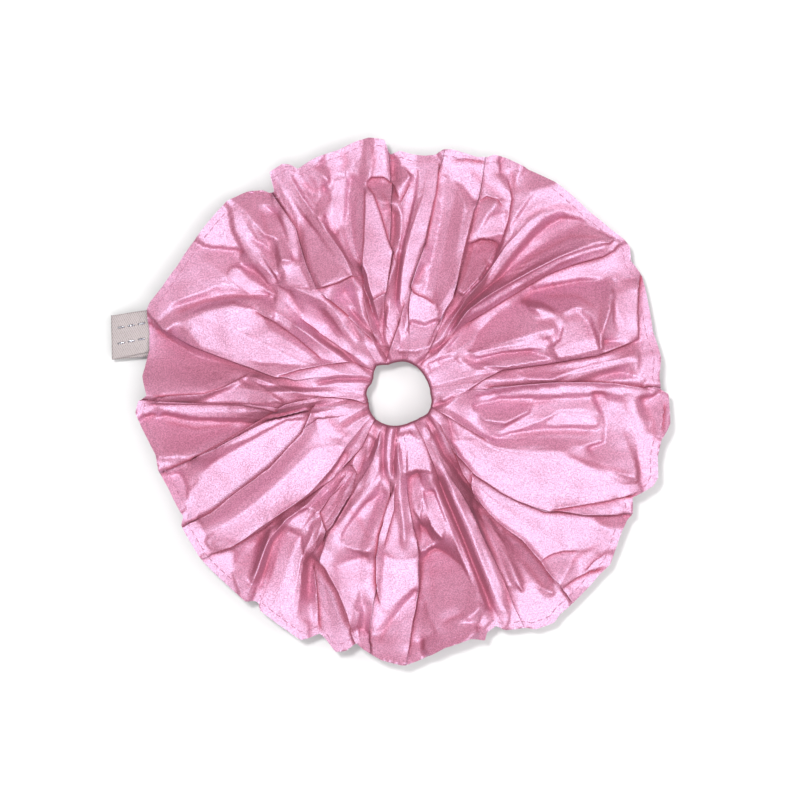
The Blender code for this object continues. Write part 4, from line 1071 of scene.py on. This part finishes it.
def silver_thread():
    """Metal-wrapped thread, with bright and dull flecks."""
    mat, nt, bsdf = nodes_of("silver_thread")
    coords = nt.nodes.new("ShaderNodeTexCoord").outputs["Object"]
    fleck = noise(nt, coords, 3500.0, 1.0)
    nt.links.new(two_tone(nt, fleck, 0.40, 0.62, (0.20, 0.19, 0.25), (0.92, 0.92, 0.97)), bsdf.inputs["Base Color"])
    bump_by(nt, bsdf, fleck, 0.8, 0.0002)
    bsdf.inputs["Metallic"].default_value = 1.0
    bsdf.inputs["Roughness"].default_value = 0.28
    return mat


# ---------------------------------------------------------------------------------------------
# Pieces
# ---------------------------------------------------------------------------------------------
def across_halves(piece):
    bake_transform(piece)


# Cover
grid, N_TOP, shade = cover_grid()
grid = soften(smooth_columns(grid, 1, 0.15), N_TOP, 1, 0.25)
top = grid[:, :N_TOP]
normal = np.cross(np.roll(top, -1, 0) - np.roll(top, 1, 0), np.gradient(top, axis=1))
normal *= np.sign(normal[..., 2:].mean())
normal /= np.linalg.norm(normal, axis=-1, keepdims=True) + 1e-9
# painted shade on the steep walls of the top, fading out towards the rim
shade[:, :N_TOP] = np.maximum(shade[:, :N_TOP], 0.55 * smooth01((0.70 - np.abs(normal[..., 2])) / 0.30) * (1 - smooth01((np.arange(N_TOP) / (N_TOP - 1.0) - 0.95) / 0.05)))
cover = link("cover", grid_mesh("cover", grid, N_TOP - 1), taffeta())
# the painted shade mask goes onto the cloth as its fold attribute
cover.data.attributes.new("fold", "FLOAT", "POINT").data.foreach_set("value", shade.astype(np.float32).ravel())
across_halves(cover)
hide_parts("cover_left", "cover_right")


def dashes(line, up, length, gap, lift):
    """Stitches along a line of points: each rises from the cloth, lies on it and dives again."""
    far = np.concatenate([[0], np.cumsum(np.linalg.norm(np.diff(line, axis=0), axis=1))])
    runs = []
    at = gap
    while at + length < far[-1]:
        s = np.linspace(at, at + length, 5)
        p = np.stack([np.interp(s, far, line[:, c]) for c in range(3)], -1)
        n = np.stack([np.interp(s, far, up[:, c]) for c in range(3)], -1)
        p = p + n * (lift * np.array([-0.6, 0.7, 1.0, 0.7, -0.6]))[:, None]
        runs.append(p * MM + LOOP)
        at += length + gap
    return runs


# Rim seam: a row of stitches through both layers, just inside the rim
ROSE = sewing_thread("rose_thread", (0.33, 0.12, 0.20), (0.47, 0.20, 0.31))
inset = np.linalg.norm(top[:, :-1] - top[:, -1:], axis=-1)
row = int(np.argmin(np.abs(inset.mean(0) - 2.4)))
rim_line = np.concatenate([top[:, row], top[:1, row]])
rim_up = np.concatenate([normal[:, row], normal[:1, row]])
rim_stitches = link("rim_seam_stitches", threads("rim_seam_stitches", dashes(rim_line, rim_up, 1.7, 1.1, 0.15), 0.14 * MM), ROSE)
across_halves(rim_stitches)
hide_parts("rim_seam_thread_left", "rim_seam_thread_right")

# Closing seam: down the valley nearest to where the two ends of the strip meet
deg = np.mod(np.degrees(np.arctan2(top[..., 1], top[..., 0])), 360)
near = np.nonzero(np.abs(deg[:, N_TOP // 2] - 105.5) < 4.0)[0]
seam = near[np.argmin(top[near, N_TOP // 2, 2])]
span = slice(int(N_TOP * 0.22), int(N_TOP * 0.93))
closing = link("closing_seam_stitches", threads("closing_seam_stitches", dashes(top[seam, span], normal[seam, span], 1.7, 1.1, 0.10), 0.14 * MM), ROSE)
across_halves(closing)
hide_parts("closing_seam_thread")

# Elastic: one flat strip on edge, lapped at the left, with ribs along it
BAND_R, BAND_W, BAND_T, BAND_Z, LAP_STEP = 13.5, 7.0, 1.0, 9.5, 1.45
turn = np.radians(np.linspace(196.0, -196.0, 300))
ramp = smooth01((np.degrees(-turn) - 144.0) / 14.0)
inner = BAND_R + LAP_STEP * ramp
ribs = 7
edge = np.linspace(0, 1, ribs * 6 + 1)
crown = 0.10 * np.abs(np.sin(np.pi * edge * ribs)) * smooth01(edge / 0.04) * smooth01((1 - edge) / 0.04)
thick = 0.5 * (BAND_T - 0.2) * np.sqrt(np.clip(1 - (2 * edge - 1) ** 8, 0, 1))
outline = np.concatenate([np.stack([0.5 * BAND_T + thick + crown, edge * BAND_W], -1), np.stack([0.5 * BAND_T - thick - crown, edge * BAND_W], -1)[::-1][1:-1]])
wave = 0.22 * np.sin(turn * 23) * (1 - smooth01((np.abs(np.degrees(turn)) - 140) / 20))
verts = np.empty((len(turn), len(outline), 3))
for k, a in enumerate(turn):
    r = inner[k] + outline[:, 0]
    verts[k] = np.stack([r * math.cos(a), r * math.sin(a), BAND_Z + outline[:, 1] + wave[k] * 0.6], -1)
n, m = len(turn), len(outline)
i, j = (q.ravel() for q in np.meshgrid(np.arange(n - 1), np.arange(m), indexing="ij"))
quads = np.stack([i * m + j, (i + 1) * m + j, (i + 1) * m + (j + 1) % m, i * m + (j + 1) % m], -1)
half = m // 2
caps = [(e * m + k, e * m + k + 1, e * m + (m - 1 - k) % m, e * m + (m - k) % m)[:: 1 if e else -1] for e in (0, n - 1) for k in range(half)]
caps = [tuple(dict.fromkeys(c)) for c in caps]
band = mesh_of("elastic_loop", verts.reshape(-1, 3) * MM + LOOP, np.concatenate([quads, np.array([c for c in caps if len(c) == 4])]), [c for c in caps if len(c) == 3])
uv = band.uv_layers.new(name="strip")
flat_u = np.concatenate([[0], np.cumsum(np.linalg.norm(np.diff(verts[:, 0], axis=0), axis=1))])
loops = np.empty(len(band.loops), np.int32)
band.loops.foreach_get("vertex_index", loops)
uv.data.foreach_set("uv", np.stack([flat_u[loops // m], verts[0, loops % m, 2]], -1).astype(np.float32).ravel())
elastic = link("elastic_loop", band, woven_elastic())
across_halves(elastic)
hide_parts("elastic_right", "elastic_left_inner_end", "elastic_left_outer_end")

# Zig-zag stitches through the lap, outside and inside
zig = np.radians(np.linspace(168.0, 192.0, 15))
high = np.where(np.arange(15) % 2 == 0, BAND_Z + 0.8 * BAND_W, BAND_Z + 0.2 * BAND_W)
runs = []
for r in (BAND_R + LAP_STEP + BAND_T + 0.28, BAND_R - 0.12):
    line = np.stack([r * np.cos(zig), r * np.sin(zig), high], -1)
    for a, b in zip(line, line[1:]):
        t = np.linspace(0.04, 0.96, 5)[:, None]
        p = a + (b - a) * t
        p[:, :2] *= r / np.hypot(p[:, 0], p[:, 1])[:, None]
        runs.append(p * MM + LOOP)
zigzag = link("elastic_join_stitches_zigzag", threads("elastic_join_stitches_zigzag", runs, 0.2 * MM), sewing_thread("white_thread", (0.62, 0.60, 0.57), (0.88, 0.87, 0.85)))
across_halves(zigzag)
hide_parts("elastic_join_stitches")


def on_picture(x, y):
    return np.array([(x - MIDDLE[0]) * 0.3125, (MIDDLE[1] - y) * 0.3125])


NA, NV, NF = 24, 30, 9
upper = [on_picture(157, 308), on_picture(157, 350), on_picture(111.5, 315), on_picture(112.5, 359.5)]
lower = [on_picture(157, 312), on_picture(157, 355), on_picture(111.5, 315), on_picture(112.5, 359.5)]
strip = np.zeros((NA + 1, 2 * (NV + 1) + NF, 3))
for k in range(NA + 1):
    u = k / NA
    curl = 0.35 * (2 * u - 1) ** 2
    v = np.linspace(0, 1, NV + 1)
    sides = []
    for quad, layer in ((upper, 1), (lower, -1)):
        root = quad[0] + (quad[1] - quad[0]) * u
        fold = quad[2] + (quad[3] - quad[2]) * u
        xy = root + (fold - root) * v[:, None]
        droop = -0.9 * v ** 1.6 + curl * smooth01(v / 0.5) - 1.3 * (1 - smooth01(v / 0.28))
        gap = 0.16 + 0.34 * np.sin(np.pi * np.minimum(v * 0.62 + 0.08, 1.0)) + (0.35 * u * v * (1 - v) * 2 if layer < 0 else 0)
        sides.append(np.concatenate([xy, (7.4 + droop + layer * gap)[:, None]], 1))
    up, down = sides
    middle, size = (up[-1] + down[-1]) / 2, (up[-1, 2] - down[-1, 2]) / 2
    t = np.radians(np.linspace(90, 270, NF + 2))[1:-1]
    bend = np.stack([middle[0] + size * np.cos(t), np.full(NF, middle[1]), middle[2] + size * np.sin(t)], -1)
    strip[k] = np.concatenate([up, bend, down[::-1]])
n, m = strip.shape[:2]
i, j = (q.ravel() for q in np.meshgrid(np.arange(n - 1), np.arange(m - 1), indexing="ij"))
tape = mesh_of("label", strip.reshape(-1, 3) * MM + LOOP, np.stack([i * m + j, i * m + j + 1, (i + 1) * m + j + 1, (i + 1) * m + j], -1))
uv = tape.uv_layers.new(name="strip")
run = np.concatenate([[0], np.cumsum(np.linalg.norm(np.diff(strip[n // 2], axis=0), axis=1))])
loops = np.empty(len(tape.loops), np.int32)
tape.loops.foreach_get("vertex_index", loops)
uv.data.foreach_set("uv", np.stack([run[loops % m], loops // m * (14.0 / NA)], -1).astype(np.float32).ravel())
label = link("label", tape, ribbon_satin())
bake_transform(label)
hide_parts("label_ribbon")
body = label.modifiers.new("thickness", "SOLIDIFY")
body.thickness = 0.28 * MM
body.offset = 0.0

# Plain silver dashes woven into the ribbon, two even broken lines of them
marks = []
for u in (0.30, 0.66):
    for v in np.linspace(0.36, 0.82, 3):
        line = []
        for t in np.linspace(-1, 1, 9):
            a, b = u * NA, (v + 0.060 * t) * NV
            p = strip[int(a), int(b)] * (1 - a % 1) + strip[int(a) + 1, int(b)] * (a % 1)
            q = strip[int(a), int(b) + 1] * (1 - a % 1) + strip[int(a) + 1, int(b) + 1] * (a % 1)
            p = p * (1 - b % 1) + q * (b % 1)
            line.append((p + (0, 0, 0.14 + 0.06 * (1 - t * t))) * MM + LOOP)
        marks.append(line)
dashes_silver = link("label_silver_dashes", threads("label_silver_dashes", marks, 0.32 * MM), silver_thread())
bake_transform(dashes_silver)

# ---------------------------------------------------------------------------------------------
# Floor, light and camera
# ---------------------------------------------------------------------------------------------
floor_mesh = bpy.data.meshes.new("floor")
floor_mesh.from_pydata([(-3, -3, 0), (3, -3, 0), (3, 3, 0), (-3, 3, 0)], [], [(0, 1, 2, 3)])
floor_mat, _nt, _b = nodes_of("pale_floor")
_b.inputs["Base Color"].default_value = (0.60, 0.60, 0.60, 1)
_b.inputs["Roughness"].default_value = 0.9
floor = link("floor", floor_mesh, floor_mat)
floor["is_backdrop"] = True

world = bpy.data.worlds.new("studio") if bpy.context.scene.world is None else bpy.context.scene.world
bpy.context.scene.world = world
world.use_nodes = True
world.node_tree.nodes["Background"].inputs["Color"].default_value = (1, 1, 1, 1)
world.node_tree.nodes["Background"].inputs["Strength"].default_value = 0.18
bpy.context.scene.view_settings.view_transform = "Standard"


def area(name, at, size, power, colour=(1, 1, 1)):
    data = bpy.data.lights.new(name, "AREA")
    data.shape = "DISK"
    data.size = size
    data.energy = power
    data.color = colour
    obj = bpy.data.objects.new(name, data)
    bpy.context.scene.collection.objects.link(obj)
    obj.location = at
    obj.rotation_mode = "QUATERNION"
    obj.rotation_quaternion = (Vector((0, 0, 0.01)) - Vector(at)).to_track_quat("-Z", "Y")
    return obj


area("flash", (-0.14, 0.16, 1.36), 0.12, 13.0)
area("key", (0.10, -0.44, 1.40), 0.90, 10.0)
area("side_light", (0.80, 0.05, 1.20), 0.7, 8.0)
fill = area("fill", (-0.10, 0.15, 1.60), 1.3, 13.0)
fill.visible_glossy = False                     # fills the shadows without a gloss of its own

cam_data = bpy.data.cameras.new("camera")
cam_data.lens = 172.8
cam_data.sensor_width = 36.0
camera = bpy.data.objects.new("camera", cam_data)
bpy.context.scene.collection.objects.link(camera)
camera.location = (LOOP[0], LOOP[1] - 6 * PX, 1.212)
bpy.context.scene.camera = camera

low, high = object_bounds()
